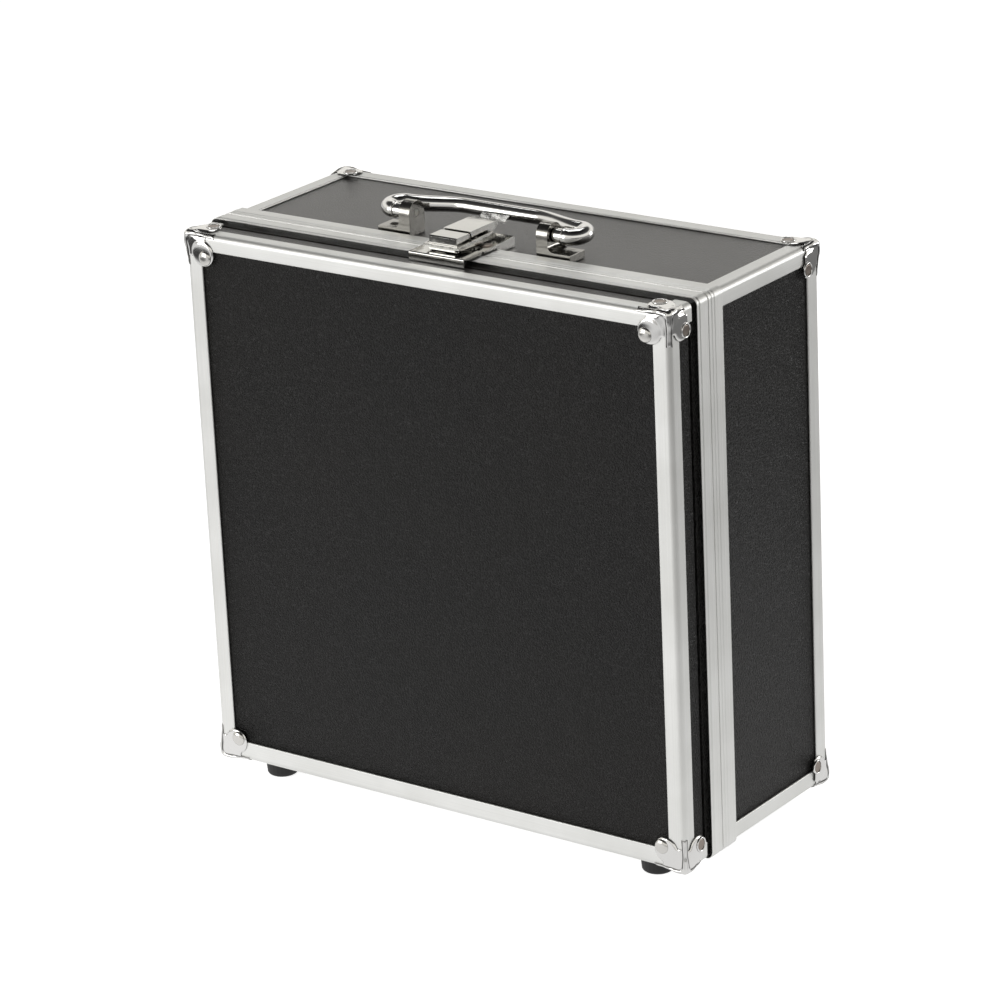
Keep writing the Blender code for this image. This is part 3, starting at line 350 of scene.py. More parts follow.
def makeFilm(name, values):
    # Calendered PVC film with an embossed leather grain, glued on board: a soft, broken sheen.
    made, tree, shader = material(name)
    place = objectPlace(tree)
    warp = noise(tree, place, *values["warp"])["Color"]
    given = {"Fac": values["warpReach"] * mm, "Color1": place, "Color2": warp}
    bent = addNode(tree, "ShaderNodeMixRGB", given, blend_type="ADD").outputs[0]
    given = {"Vector": bent, "Scale": 1 / (values["grain"] * mm)}
    cells = addNode(tree, "ShaderNodeTexVoronoi", given, feature="DISTANCE_TO_EDGE").outputs["Distance"]
    creases = remap(tree, cells, (0.0, values["creaseShare"]))
    pores = noise(tree, place, *values["pores"])["Fac"]
    height = calculate(tree, "MULTIPLY_ADD", pores, values["poreShare"], creases)
    handling = noise(tree, place, *values["handling"])["Fac"]
    feed(tree, shader, {
        "Base Color": ramp(tree, handling, values["colours"]),
        "Roughness": remap(tree, handling, target=values["roughness"]),
        "Normal": bump(tree, height, *values["relief"]),
        "IOR": values["refraction"],
        "Specular IOR Level": values["gloss"],
        "Sheen Weight": values["sheen"],
        "Sheen Roughness": values["sheenRoughness"],
    })
    return made


aluminiumValues = {
    "colours": ((0.10, "#DCDCD9"), (0.40, "#EAEAE8")),
    "roughness": (0.44, 0.56),
    "along": 6.0,               # scale of the die lines along a piece, per metre
    "across": 1 / (0.5 * mm),   # and across it
    "lines": (1.0, 3.0, 0.6),
    "cloud": (30.0, 3.0, 0.5),
    "relief": (0.25, 0.04),
}


def makeAluminium(name, axis, values):
    # Extruded, satin-anodised aluminium: fine die lines along its length and a soft sheen.
    made, tree, shader = material(name)
    place = objectPlace(tree)
    along, across = values["along"], values["across"]
    if axis == "bent":
        # round a bend the lines follow the piece's UV map, metres along and across
        flat = addNode(tree, "ShaderNodeUVMap", uv_map="drawn").outputs["UV"]
        given = {"Vector": flat, "Scale": (along, across, across)}
    else:
        given = {"Vector": place, "Scale": [along if letter == axis else across for letter in "XYZ"]}
    drawn = addNode(tree, "ShaderNodeMapping", given).outputs[0]
    lines = noise(tree, drawn, *values["lines"])["Fac"]
    cloud = noise(tree, place, *values["cloud"])["Fac"]
    feed(tree, shader, {
        "Base Color": ramp(tree, calculate(tree, "MULTIPLY", lines, cloud), values["colours"]),
        "Roughness": remap(tree, lines, target=values["roughness"]),
        "Normal": bump(tree, lines, *values["relief"]),
        "Metallic": 1.0,
    })
    return made


chromeValues = {
    "colour": "#DEDDDB",
    # colour of the painted shade in corners and grooves
    "grime": "#2E2C2A",
    "roughness": (0.09, 0.18),  # wiped bright, and hazed
    "wipes": (55.0, 5.0, 0.7),
    "wipedSpan": (0.4, 0.75),   # of that noise, from bright to hazed
    "waves": (210.0, 2.0, 0.5),
    "relief": (0.06, 0.4),
    "cornerReach": 1.6,         # mm over which painted shade spreads from a corner
    "cornerSpan": (0.35, 0.85),  # how open a corner is, from full painted shade to none
    # how far the colour turns to painted shade in the tightest corners
    "paintedCornerShade": 0.85,
    "cornerSamples": 8,
}
latchChromeValues = dict(
    chromeValues,
    colour="#C9C8C4",
    # a darker painted shade for the latch
    grime="#1E1C1A",
    roughness=(0.10, 0.19),
    relief=(0.2, 0.4),
    cornerReach=2.8,
)
bracketChromeValues = dict(latchChromeValues, colour="#96948F", roughness=(0.14, 0.23), relief=(0.3, 0.4))


def makeChrome(name, values):
    # Polished chrome plate on pressed steel and zinc castings: mirror-bright and a little wavy. Its colour is
    # darkened with painted shade in corners, found by ambient occlusion, and where a piece's painted-shade
    # attribute is high.
    made, tree, shader = material(name)
    place = objectPlace(tree)
    waves = noise(tree, place, *values["waves"])["Fac"]
    wipes = noise(tree, place, *values["wipes"])["Fac"]
    # painted shade: ambient occlusion darkens the colour in corners
    reach = {"Distance": values["cornerReach"] * mm}
    corner = addNode(tree, "ShaderNodeAmbientOcclusion", reach, samples=values["cornerSamples"]).outputs["AO"]
    paintedCornerShade = remap(tree, corner, values["cornerSpan"], (values["paintedCornerShade"], 0.0))
    # and the painted shade given per point, along the caps' grooves
    ownPaintedShade = addNode(tree, "ShaderNodeAttribute", attribute_name="grime").outputs["Fac"]
    given = {
        "Fac": calculate(tree, "MAXIMUM", ownPaintedShade, paintedCornerShade),
        "Color1": fromHex(values["colour"]),
        "Color2": fromHex(values["grime"]),
    }
    feed(tree, shader, {
        "Base Color": addNode(tree, "ShaderNodeMixRGB", given).outputs[0],
        "Roughness": remap(tree, wipes, values["wipedSpan"], values["roughness"]),
        "Normal": bump(tree, waves, *values["relief"]),
        "Metallic": 1.0,
    })
    return made


zincValues = {"colour": "#B9B7B0", "roughness": (0.22, 0.40), "mottle": (350.0, 4.0, 0.5)}
rivetMetalValues = dict(zincValues, colour="#91877F", roughness=(0.26, 0.44))
domeMetalValues = dict(zincValues, colour="#D2D0CC", roughness=(0.12, 0.30))


def makeZinc(name, values):
    # Zinc-plated steel wire and sheet: duller than chrome, slightly mottled.
    made, tree, shader = material(name)
    mottle = noise(tree, objectPlace(tree), *values["mottle"])["Fac"]
    feed(tree, shader, {
        "Base Color": fromHex(values["colour"]),
        "Roughness": remap(tree, mottle, target=values["roughness"]),
        "Metallic": 1.0,
    })
    return made


rubberValues = {
    "colour": "#0C0C0C",
    "roughness": 0.62,
    "refraction": 1.52,
    "grain": (1800.0, 3.0, 0.5),
    "relief": (0.3, 0.1),
}


def makeRubber(values):
    # Moulded black rubber: matt, with the fine texture of a mould.
    made, tree, shader = material("moulded black rubber")
    grain = noise(tree, objectPlace(tree), *values["grain"])["Fac"]
    feed(tree, shader, {
        "Base Color": fromHex(values["colour"]),
        "Roughness": values["roughness"],
        "Normal": bump(tree, grain, *values["relief"]),
        "IOR": values["refraction"],
    })
    return made


feltValues = {
    "colours": ((0.35, "#0F0F10"), (0.7, "#2B2B2D")),
    "roughness": 0.95,
    "sheen": 0.3,
    "fibre": (1400.0, 5.0, 0.75),
    "relief": (0.9, 0.5),
}


def makeFelt(values):
    # Needled black felt: short matted fibres, no gloss, a little light on its nap.
    made, tree, shader = material("black needle felt")
    fibre = noise(tree, objectPlace(tree), *values["fibre"])["Fac"]
    feed(tree, shader, {
        "Base Color": ramp(tree, fibre, values["colours"]),
        "Roughness": values["roughness"],
        "Normal": bump(tree, fibre, *values["relief"]),
        "Sheen Weight": values["sheen"],
    })
    return made


film = makeFilm("embossed black PVC film", filmValues)
litTopFilm = makeFilm("embossed black PVC film, rubbed smooth", litTopFilmValues)
rimShadedTopFilm = makeFilm("embossed black PVC film, worn", rimShadedTopFilmValues)
aluminiumAlong = {}
for axis in "XYZ":
    name = f"satin anodised aluminium, drawn along {axis}"
    aluminiumAlong[axis] = makeAluminium(name, axis, aluminiumValues)
bentAluminium = makeAluminium("satin anodised aluminium, bent round the case", "bent", aluminiumValues)
chrome = makeChrome("polished chrome plate", chromeValues)
latchChrome = makeChrome("chrome plate on zinc castings", latchChromeValues)
bracketChrome = makeChrome("worn chrome on zinc castings", bracketChromeValues)
zinc = makeZinc("zinc-plated steel", zincValues)
rivetMetal = makeZinc("tarnished rivet steel", rivetMetalValues)
domeMetal = makeZinc("nickel-plated rivet heads", domeMetalValues)
rubber = makeRubber(rubberValues)
felt = makeFelt(feltValues)
print("finishes made")


# The CAD pieces that stay, and copies of them with eased edges

behaviour = frame["record"]["behaviour"]
bodyOf = {node: body for body, nodes in behaviour["bodies"].items() for node in nodes}
slotOf = {entry["node"]: entry["material_slot"] for entry in frame["record"]["subparts"]}
castings = ("latch_keeper_plate", "latch_base_plate", "latch_lever", "latch_hook")

easedValues = {
    "weld": 0.002,              # mm between corners that are one
    "flatAngle": 0.5,           # degrees up to which triangles make one face
    "edgeAngle": 30,            # degrees from which an edge is eased
    "smoothAngle": 40,
    "faceWeight": 100,          # how strongly large faces stay flat
    # width in mm and segments of an eased edge
    "profile": (0.15, 2),
    "latch": (0.3, 3),
    "bracket": (0.45, 3),
    "hinge": (0.3, 2),
}


def runAxis(node):
    # the axis along which an extruded profile runs
    low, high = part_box(node)
    size = high - low
    return "XYZ"[max(range(3), key=lambda i: size[i])]


def finishOf(node):
    # the top faces take the copies painted lighter for the lit top, the lid's strip the one with less gloss
    # for the rim's shade
    if node in ("body_wall_top", "lid_wall_top"):
        return litTopFilm if node == "body_wall_top" else rimShadedTopFilm
    if slotOf[node] == "satin_aluminium":
        return aluminiumAlong["X" if node.endswith("_rim") else runAxis(node)]
    plain = {"black_film": film, "black_lining": felt, "black_rubber": rubber, "zinc_steel": zinc}
    return plain.get(slotOf[node], chrome)


def paint(node, finish):
    obj = frame["nodes"][node]
    if not obj.material_slots:
        obj.data.materials.append(finish)
    for slot in obj.material_slots:
        slot.material = finish


def stand(obj, node):
    # obj stands for a CAD node and rides on that node's body
    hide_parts(node)
    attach(obj, bodyOf[node])


def easedCopy(node, kind, finish, eased):
    # a copy of a CAD piece, its triangles joined to whole faces and its edges eased
    shape = bmesh.new()
    shape.from_mesh(frame["nodes"][node].data)
    bmesh.ops.remove_doubles(shape, verts=shape.verts, dist=eased["weld"] * mm)
    flat = math.radians(eased["flatAngle"])
    bmesh.ops.dissolve_limit(shape, angle_limit=flat, verts=shape.verts, edges=shape.edges)
    obj = newObject(f"{node}_eased", meshFrom(f"{node}_eased", shape, False), finish)
    width, segments = eased[kind]
    bevel = obj.modifiers.new("Eased edges", "BEVEL")
    bevel.width = width * mm
    bevel.segments = segments
    bevel.limit_method = "ANGLE"
    bevel.angle_limit = math.radians(eased["edgeAngle"])
    bake(obj)
    smooth(obj.data, eased["smoothAngle"])
    steady = obj.modifiers.new("Flat faces stay flat", "WEIGHTED_NORMAL")
    steady.weight = eased["faceWeight"]
    steady.keep_sharp = True
    stand(bake(obj), node)


def dressFrame(eased):
    for node in slotOf:
        paint(node, finishOf(node))
    for node in slotOf:
        if "_edge_" in node:
            easedCopy(node, "profile", aluminiumAlong[runAxis(node)], eased)
        elif node in castings:
            easedCopy(node, "latch", latchChrome, eased)
        elif node.startswith("handle_bracket"):
            easedCopy(node, "bracket", bracketChrome, eased)
        elif "_leaf_" in node:
            easedCopy(node, "hinge", zinc, eased)


dressFrame(easedValues)
print("frame dressed")


# Rims: the ribbed extrusions, bent round the case

rimValues = {
    # mm, and heights are from the case's faces
    "proud": 1.5,           # height of its highest level
    "bend": 4.5,            # radius of its corners there
    "insideBend": 0.5,      # radius of its corners below the case's faces
    "bendSteps": 14,
    "smoothAngle": 40,
    "slope": 0.7,           # width of the slope from one level to the next
    "roll": 0.18,           # radius of its two edges
    "pointStep": 0.14,      # between the points across its face
    "lip": 0.5,             # thickness of its outer edge, which overhangs the film
    "undercut": 8.0,        # from that edge in to its foot
    "foot": 1.2,            # depth of that foot, close over the film
    "web": 1.8,             # thickness of the wall at the seam
    "seam": 0.3,            # from the seam's middle to a rim
    "lining": 6.8,          # depth of the inner flange's outer side
    "flange": 1.0,          # thickness of flange and tongue
    "reach": 8.8,           # of the flange over the boards
    "tongue": 5.0,          # how far the body's tongue enters the lid
    "tongueGap": 0.5,       # between the tongue and the lid's flange
    # width of each level and its depth below the highest, from the seam outwards
    "lid": ((2.4, 0.22), (5.7, 0.0), (1.0, 0.36), (1.7, 0.04)),
    "body": ((2.2, 0.0), (1.0, 0.34), (1.0, 0.1), (1.8, 0.24), (4.2, 0.0), (3.9, 0.12)),
}


def softSteps(steps, rim):
    # (distance from the seam, depth) of a ribbed face whose edges are all eased
    places = np.cumsum([0] + [width for width, depth in steps])
    total, roll, slope = places[-1], rim["roll"], rim["slope"]
    points = [(0.0, roll)]
    for y in np.linspace(0, total, int(total / rim["pointStep"]) + 1)[1:-1]:
        depth = steps[0][1]
        for place, (_, level), (_, last) in zip(places[1:-1], steps[1:], steps):
            depth += (level - last) * ease(y, place - slope / 2, place + slope / 2)
        fromEdge = min(y, total - y)
        depth += roll * (1 - math.sqrt(1 - max(0.0, 1 - fromEdge / roll) ** 2))
        points.append((float(y), float(depth)))
    points.append((total, roll))
    return points


def rimSection(node, rim):
    # closed section as (y, offset outwards from the case's faces), in mm
    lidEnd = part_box("lid_rim")[1].y / mm
    if node == "lid_rim":
        steps, seam, away = rim["lid"], lidEnd, -1
    else:
        steps, seam, away = rim["body"], lidEnd + 2 * rim["seam"], 1
    section = [(seam + away * y, rim["proud"] - depth) for y, depth in softSteps(steps, rim)]
    end, lip = section[-1][0], rim["proud"] - rim["lip"]
    under, web = end - away * rim["undercut"], seam + away * rim["web"]
    reach, lining = web + away * rim["reach"], -rim["lining"]
    inside = lining - rim["flange"]
    section += [(end, lip), (under, lip), (under, -rim["foot"]), (web, -rim["foot"])]
    section += [(web, lining), (reach, lining), (reach, inside)]
    if node == "lid_rim":
        return section + [(seam, inside)]
    tip, upper = seam - rim["tongue"], inside - rim["tongueGap"]
    lower = upper - rim["flange"]
    return section + [(web, inside), (web, lower), (tip, lower), (tip, upper), (seam, upper)]


def bentRim(node, rim):
    section = rimSection(node, rim)
    shape = bmesh.new()
    uv = shape.loops.layers.uv.new("drawn")
    rings = []
    for y, offset in section:
        radius = rim["insideBend"]
        if offset > 0:
            radius = max(rim["bend"] + offset - rim["proud"], radius)
        reachX = faces["side"] / mm + offset - radius
        reachZ = (faces["top"] - faces["bottom"]) / 2 / mm + offset - radius
        ring = []
        for quarter, (signX, signZ) in enumerate(((1, 1), (-1, 1), (-1, -1), (1, -1))):
            for k in range(rim["bendSteps"] + 1):
                angle = math.radians(90 * (quarter + k / rim["bendSteps"]))
                x = signX * reachX + radius * math.cos(angle)
                z = signZ * reachZ + radius * math.sin(angle)
                ring.append(shape.verts.new((x * mm, y * mm, z * mm + caseMiddle)))
        rings.append(ring)
    along, across = [0.0], [0.0]
    for one, two in zip(rings[0], rings[0][1:] + rings[0][:1]):
        along.append(along[-1] + (one.co - two.co).length)
    for one, two in zip(section, section[1:] + section[:1]):
        across.append(across[-1] + math.dist(one, two) * mm)
    count = len(rings[0])
    for row, near in enumerate(rings):
        far = rings[(row + 1) % len(rings)]
        for k in range(count):
            after = (k + 1) % count
            face = shape.faces.new((near[k], near[after], far[after], far[k]))
            corners = ((k, row), (k + 1, row), (k + 1, row + 1), (k, row + 1))
            for loop, (u, w) in zip(face.loops, corners):
                loop[uv].uv = (along[u], across[w])
    obj = newObject(f"{node}_bent", meshFrom(f"{node}_bent", shape), bentAluminium)
    smooth(obj.data, rim["smoothAngle"])
    stand(obj, node)


for rimNode in ("lid_rim", "body_rim"):
    bentRim(rimNode, rimValues)
print("rims bent")


# Corner caps, pressed from one sheet: raised strips along the edges and a lobe on each face.
# A cap's own frame starts at its corner of the case. The lobes lie across x, y and z, in this order.

capValues = {
    # mm, and levels are from the top of the raised strips
    "outside": 1.5,         # from the case's faces to that top
    # distance from the tip and radius of the folded edge there
    "fold": ((0.0, 3.6), (3.0, 3.5), (7.5, 2.4), (12.0, 3.0), (17.0, 4.7)),
    "legs": (21.5, 15.5, 20.2),
    "stripWidth": 1.9,      # inside the case's edge
    "flare": 0.4,           # how much wider a strip's end is
    "flareLength": 3.0,
    "tailNotch": 0.5,       # how far its end is hollowed
    "lobeRadius": 7.8,
    "lobePull": 2.3,        # from a rivet towards the tip, both ways, to the lobe's middle
    "lobeBlend": 1.2,       # rounding where a lobe meets the sheet
    "stripBlend": 0.5,      # and where it meets the strips
    "rivets": ((0, 13.9, 13.4), (15.2, 0, 14.3), (13.0, 11.2, 0)),
    # distance from the fold and level of the sheet
    "section": (
        (0.0, 0.0), (0.9, 0.0), (1.15, -0.1), (1.45, -0.04), (1.9, 0.0), (2.4, -0.08),
        (2.8, -0.48), (3.1, -0.64), (3.4, -0.6), (3.8, -0.48), (4.2, -0.48),
    ),
    "sectionRounding": 0.45,
    # distance from the fold and how much painted shade darkens the sheet there, along its grooves
    "grime": (
        (0.0, 0.0), (0.85, 0.0), (1.1, 0.55), (1.35, 0.1), (2.35, 0.0), (2.75, 0.9), (3.3, 0.9), (3.7, 0.0),
    ),
    "paintedShadeRounding": 0.2,
    "paintedShadeReach": (2.0, 4.0),   # from the tip, where the painted shade sets in
    "curve": (-1, 8, 0.005),    # from, to and step of both curves
    "relief": (0.6, 1.0, 0.3),  # share of the pressing's depth on the side, front and top
    "fillet": 3.2,          # rounding of the strips' inner corner
    "plateReach": (3.3, 5.2),   # from the fold, where the plate inside the strips sets in
    "dome": 0.8,            # height of the lobe's dome
    "domeShare": 0.25,      # of the dome, that lies below the sheet's level
    "edgeRoll": 0.45,
    "rollWidth": 0.6,
    "sinking": 1.02,        # how much lower a strip lies at its end
    "sinkReach": (4.0, 12.0),
    "lowest": -1.22,
    "fineSteps": (0.14, 2.8),   # grid step over the strips, and how far it goes
    "gridStep": 0.3,
    "weld": 0.02,
    "softenings": 10,       # rounds of smoothing, for calm reflections
    "softening": 0.5,
    "innerPoint": 10.0,     # along all three axes, a place inside the bend
    "sheet": 0.45,          # thickness
    "smoothAngle": 60,
}


def softMin(a, b, k):
    h = np.clip(0.5 + 0.5 * (b - a) / k, 0, 1)
    return b + (a - b) * h - k * h * (1 - h)


def softCurve(points, at, width, span):
    # the line through these points with its corners rounded over a width
    low, high, step = span
    xs = np.linspace(low, high, round((high - low) / step) + 1)
    window = np.hanning(int(width / step) | 1)
    ys = np.interp(np.pad(xs, len(window) // 2, mode="edge"), *zip(*points))
    return np.interp(at, xs, np.convolve(ys, window / window.sum(), mode="valid"))


def capFace(a, b, legs, rivet, relief, cap):
    # distance to the cap's outline, negative inside, the level of the sheet and the painted shade in its
    # grooves
    start = -cap["outside"]

    def strip(along, across, leg):
        width = cap["stripWidth"] + cap["flare"] * ease(along, leg - cap["flareLength"], leg)
        share = np.clip((across - start) / (width - start), 0, 1)
        end = leg - cap["tailNotch"] * (1 - share * share)
        return np.maximum(across - width, along - end)

    reach = np.hypot(a - (rivet[0] - cap["lobePull"]), b - (rivet[1] - cap["lobePull"]))
    web = np.maximum(a - rivet[0], b - rivet[1])
    lobe = softMin(reach - cap["lobeRadius"], web, cap["lobeBlend"])
    strips = np.minimum(strip(a, b, legs[0]), strip(b, a, legs[1]))
    outline = softMin(lobe, strips, cap["stripBlend"])
    fromTip = np.maximum(a, b)
    fromFold = np.maximum(softMin(a, b, cap["fillet"]) - start, 0)
    plate = ease(fromFold, *cap["plateReach"])
    dome = np.sqrt(np.clip(1 - (reach / cap["lobeRadius"]) ** 2, 0, 1)) - cap["domeShare"]
    level = relief * softCurve(cap["section"], fromFold, cap["sectionRounding"], cap["curve"])
    level += relief * cap["dome"] * plate * dome
    level -= cap["sinking"] * (1 - plate) * ease(fromTip, *cap["sinkReach"])
    level -= cap["edgeRoll"] * (1 - ease(-outline, 0.0, cap["rollWidth"]))
    grime = softCurve(cap["grime"], fromFold, cap["paintedShadeRounding"], cap["curve"])
    return outline, np.maximum(level, cap["lowest"]), grime * ease(fromTip, *cap["paintedShadeReach"])


def snapped(a, b, outline):
    # grid points beside the outline moved onto it, and which points these are
    moved = np.full(a.shape, np.inf)
    newA, newB = a.copy(), b.copy()
    for da, db in ((1, 0), (0, 1)):
        for r in range(a.shape[0] - da):
            for c in range(a.shape[1] - db):
                one, two = outline[r, c], outline[r + da, c + db]
                if (one < 0) == (two < 0):
                    continue
                t = one / (one - two)
                here = (r, c) if t < 0.5 else (r + da, c + db)
                if min(t, 1 - t) < moved[here]:
                    moved[here] = min(t, 1 - t)
                    newA[here] = a[r, c] + t * (a[r + da, c + db] - a[r, c])
                    newB[here] = b[r, c] + t * (b[r + da, c + db] - b[r, c])
    return newA, newB, np.isfinite(moved)


def addCapFace(shape, paintedShadeLayer, axis, lines, cap):
    # the cap's sheet across one axis
    i, j = [k for k in range(3) if k != axis]
    rivet = cap["rivets"][axis]
    given = ((cap["legs"][i], cap["legs"][j]), (rivet[i], rivet[j]), cap["relief"][axis], cap)
    a, b = np.meshgrid(lines[i], lines[j], indexing="ij")
    a, b, onLine = snapped(a, b, capFace(a, b, *given)[0])
    outline, level, grime = capFace(a, b, *given)
    inside = (outline < 0) & ~onLine
    place = np.zeros(a.shape + (3,))
    place[..., axis] = -cap["outside"]
    place[..., i], place[..., j] = a, b
    radius = np.interp(np.maximum(a, b), *zip(*cap["fold"]))
    middle = np.maximum(place, (radius - cap["outside"])[..., None])
    normal = place - middle
    normal /= np.linalg.norm(normal, axis=-1, keepdims=True)
    place = (middle + normal * (radius + level)[..., None]) * mm
    made = {}
    for r in range(a.shape[0] - 1):
        for c in range(a.shape[1] - 1):
            ring = [(r, c), (r + 1, c), (r + 1, c + 1), (r, c + 1)]
            kept = [q for q in ring if inside[q] or onLine[q]]
            if len(kept) < 3 or not any(inside[q] for q in kept):
                continue
            for q in kept:
                if q not in made:
                    made[q] = shape.verts.new(place[q])
                    made[q][paintedShadeLayer] = float(grime[q])
            shape.faces.new([made[q] for q in kept])


def capShape(cap):
    fine, fineReach = cap["fineSteps"]
    near = np.arange(-cap["outside"], fineReach, fine)
    lines = []
    for leg in cap["legs"]:
        far = np.arange(near[-1] + cap["gridStep"], leg + 2 * cap["gridStep"], cap["gridStep"])
        lines.append(np.concatenate([near, far]))
    shape = bmesh.new()
    # each point's painted shade, which the chrome turns into a darker colour
    paintedShadeLayer = shape.verts.layers.float.new("grime")
    for axis in range(3):
        addCapFace(shape, paintedShadeLayer, axis, lines, cap)
    bmesh.ops.remove_doubles(shape, verts=shape.verts, dist=cap["weld"] * mm)
    free = [vert for vert in shape.verts if not vert.is_boundary]
    everyWay = {"use_axis_x": True, "use_axis_y": True, "use_axis_z": True}
    for _ in range(cap["softenings"]):
        bmesh.ops.smooth_vert(shape, verts=free, factor=cap["softening"], **everyWay)
    bmesh.ops.recalc_face_normals(shape, faces=shape.faces)
    inner = Vector([cap["innerPoint"] * mm] * 3)
    outward = sum(f.normal.dot(f.calc_center_median() - inner) * f.calc_area() for f in shape.faces)
    if outward < 0:
        bmesh.ops.reverse_faces(shape, faces=shape.faces)
    return meshFrom("corner_cap", shape, False)


def cornerFrames():
    # each cap's node with the matrix from its own frame to its corner
    for half, face, back in (("lid", faces["front"], 1), ("body", faces["back"], -1)):
        for vertical, edge, up in (("top", faces["top"], -1), ("bottom", faces["bottom"], 1)):
            for across, side in (("left", -1), ("right", 1)):
                corner = Matrix.Translation((side * faces["side"], face, edge))
                yield f"{half}_corner_{vertical}_{across}", corner @ Matrix.Diagonal((-side, back, up, 1))


def makeCaps(cap):
    base = newObject("corner_cap", capShape(cap), chrome)
    wall = base.modifiers.new("Sheet", "SOLIDIFY")
    wall.thickness = cap["sheet"] * mm
    wall.offset = -1
    bake(base)
    for node, turn in cornerFrames():
        mesh = base.data.copy()
        mesh.name = f"{node}_pressed"
        mesh.transform(turn)
        if turn.determinant() < 0:
            mesh.flip_normals()
        smooth(mesh, cap["smoothAngle"])
        stand(newObject(f"{node}_pressed", mesh), node)
    bpy.data.objects.remove(base)


makeCaps(capValues)
print("caps pressed")


# Rivets, set on points by geometry nodes

rivetValues = {
    # mm
    "sides": 36,
    "smoothAngle": 50,
    "turnSeed": 4,          # of the heads' turns about their own axes
    "sink": 1.45,           # from the case's faces out to the heads' zero level
    # radius and height, from the rim to the middle
    "dome": (
        (4.0, -0.6), (4.35, -0.1), (4.4, 0.15), (4.22, 0.5), (3.75, 0.92),
        (3.05, 1.26), (2.15, 1.49), (1.1, 1.6), (0, 1.63),
    ),
    "collar": (
        (4.3, -0.6), (4.45, 0.0), (4.42, 0.42), (4.2, 0.7), (3.9, 0.74),
        (3.6, 0.62), (3.42, 0.3), (3.36, -0.1), (3.3, -0.5),
    ),
    "disc": ((3.22, -0.5), (3.2, 0.14), (3.08, 0.34), (2.8, 0.42), (2.2, 0.4), (1.2, 0.34), (0, 0.32)),
    "base": ((3.3, -0.4), (3.58, 0.1), (3.5, 0.55), (3.1, 0.86), (2.2, 1.0), (1.1, 1.06), (0, 1.08)),
    # of the base plate's: from the case's middle, behind the lid's rim, above the case's top
    "basePlaces": (14.5, 10.9, 3.72),
}


def addSockets(tree, *inputs):
    # the geometry in, further inputs as (name, kind), and the geometry out
    for name, kind in (("Geometry", "Geometry"), *inputs):
        tree.interface.new_socket(name, in_out="INPUT", socket_type=f"NodeSocket{kind}")
    tree.interface.new_socket("Geometry", in_out="OUTPUT", socket_type="NodeSocketGeometry")


def finishTree(tree, geometry, finish):
    # makes instances real, gives them their material and puts them out
    real = addNode(tree, "GeometryNodeRealizeInstances", {"Geometry": geometry}).outputs[0]
    coated = addNode(tree, "GeometryNodeSetMaterial", {"Geometry": real, "Material": finish})
    addNode(tree, "NodeGroupOutput", {"Geometry": coated.outputs[0]})


def rivetTree():
    tree = bpy.data.node_groups.new("heads on points", "GeometryNodeTree")
    addSockets(tree, ("Head", "Object"), ("Finish", "Material"), ("Turn Seed", "Int"))
    given = addNode(tree, "NodeGroupInput").outputs
    facing = addNode(tree, "GeometryNodeInputNamedAttribute", {"Name": "facing"}, data_type="FLOAT_VECTOR")
    upright = {"Vector": facing.outputs["Attribute"]}
    aligned = addNode(tree, "FunctionNodeAlignRotationToVector", upright, axis="Z")
    spin = {"Min": (0, 0, 0), "Max": (0, 0, math.tau), "Seed": given["Turn Seed"]}
    spun = addNode(tree, "FunctionNodeRandomValue", spin, data_type="FLOAT_VECTOR")
    both = {"Rotation": aligned.outputs[0], "Rotate By": spun.outputs[0]}
    turn = addNode(tree, "FunctionNodeRotateRotation", both, rotation_space="LOCAL")
    head = addNode(tree, "GeometryNodeObjectInfo", {"Object": given["Head"]}).outputs["Geometry"]
    placed = {"Points": given["Geometry"], "Instance": head, "Rotation": turn.outputs[0]}
    heads = addNode(tree, "GeometryNodeInstanceOnPoints", placed)
    finishTree(tree, heads.outputs[0], given["Finish"])
    return tree


headTree = rivetTree()


def setInput(modifier, name, value):
    for item in modifier.node_group.interface.items_tree:
        if item.item_type == "SOCKET" and item.in_out == "INPUT" and item.name == name:
            modifier[item.identifier] = value


def turned(name, profile, sides, smoothAngle):
    # a profile of (radius, height) in mm, turned about +Z
    shape = bmesh.new()
    angles = [2 * math.pi * k / sides for k in range(sides)]
    rings = []
    for radius, height in profile:
        reach, z = radius * mm, height * mm
        if radius == 0:
            rings.append([shape.verts.new((0, 0, z))])
        else:
            rings.append([shape.verts.new((reach * math.cos(t), reach * math.sin(t), z)) for t in angles])
    for low, high in zip(rings, rings[1:]):
        for k in range(sides):
            after = (k + 1) % sides
            ring = [low[k % len(low)], low[after % len(low)], high[after % len(high)], high[k % len(high)]]
            shape.faces.new(list(dict.fromkeys(ring)))
    return smooth(meshFrom(name, shape), smoothAngle)


def setHeads(name, body, places, head, finish):
    # a head on each (place, facing)
    mesh = bpy.data.meshes.new(name)
    mesh.from_pydata([place for place, facing in places], [], [])
    field = mesh.attributes.new("facing", "FLOAT_VECTOR", "POINT")
    field.data.foreach_set("vector", [value for place, facing in places for value in facing])
    obj = newObject(name, mesh)
    nodes = obj.modifiers.new("Heads", "NODES")
    nodes.node_group = headTree
    setInput(nodes, "Head", head)
    setInput(nodes, "Finish", finish)
    setInput(nodes, "Turn Seed", rivetValues["turnSeed"])
    bake(obj)
    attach(obj, body)


def capRivets(half, sink):
    # (place, facing) of one half's rivets: domes on the caps' front or back faces, dishes on the others
    domes, dishes = [], []
    for node, turn in cornerFrames():
        if not node.startswith(half):
            continue
        for axis, rivet in enumerate(capValues["rivets"]):
            place, out = Vector(rivet), Vector((0, 0, 0))
            place[axis] = -sink
            out[axis] = -1
            facing = (turn.to_3x3() @ out).normalized()
            (domes if axis == 1 else dishes).append((turn @ (place * mm), facing))
    return domes, dishes


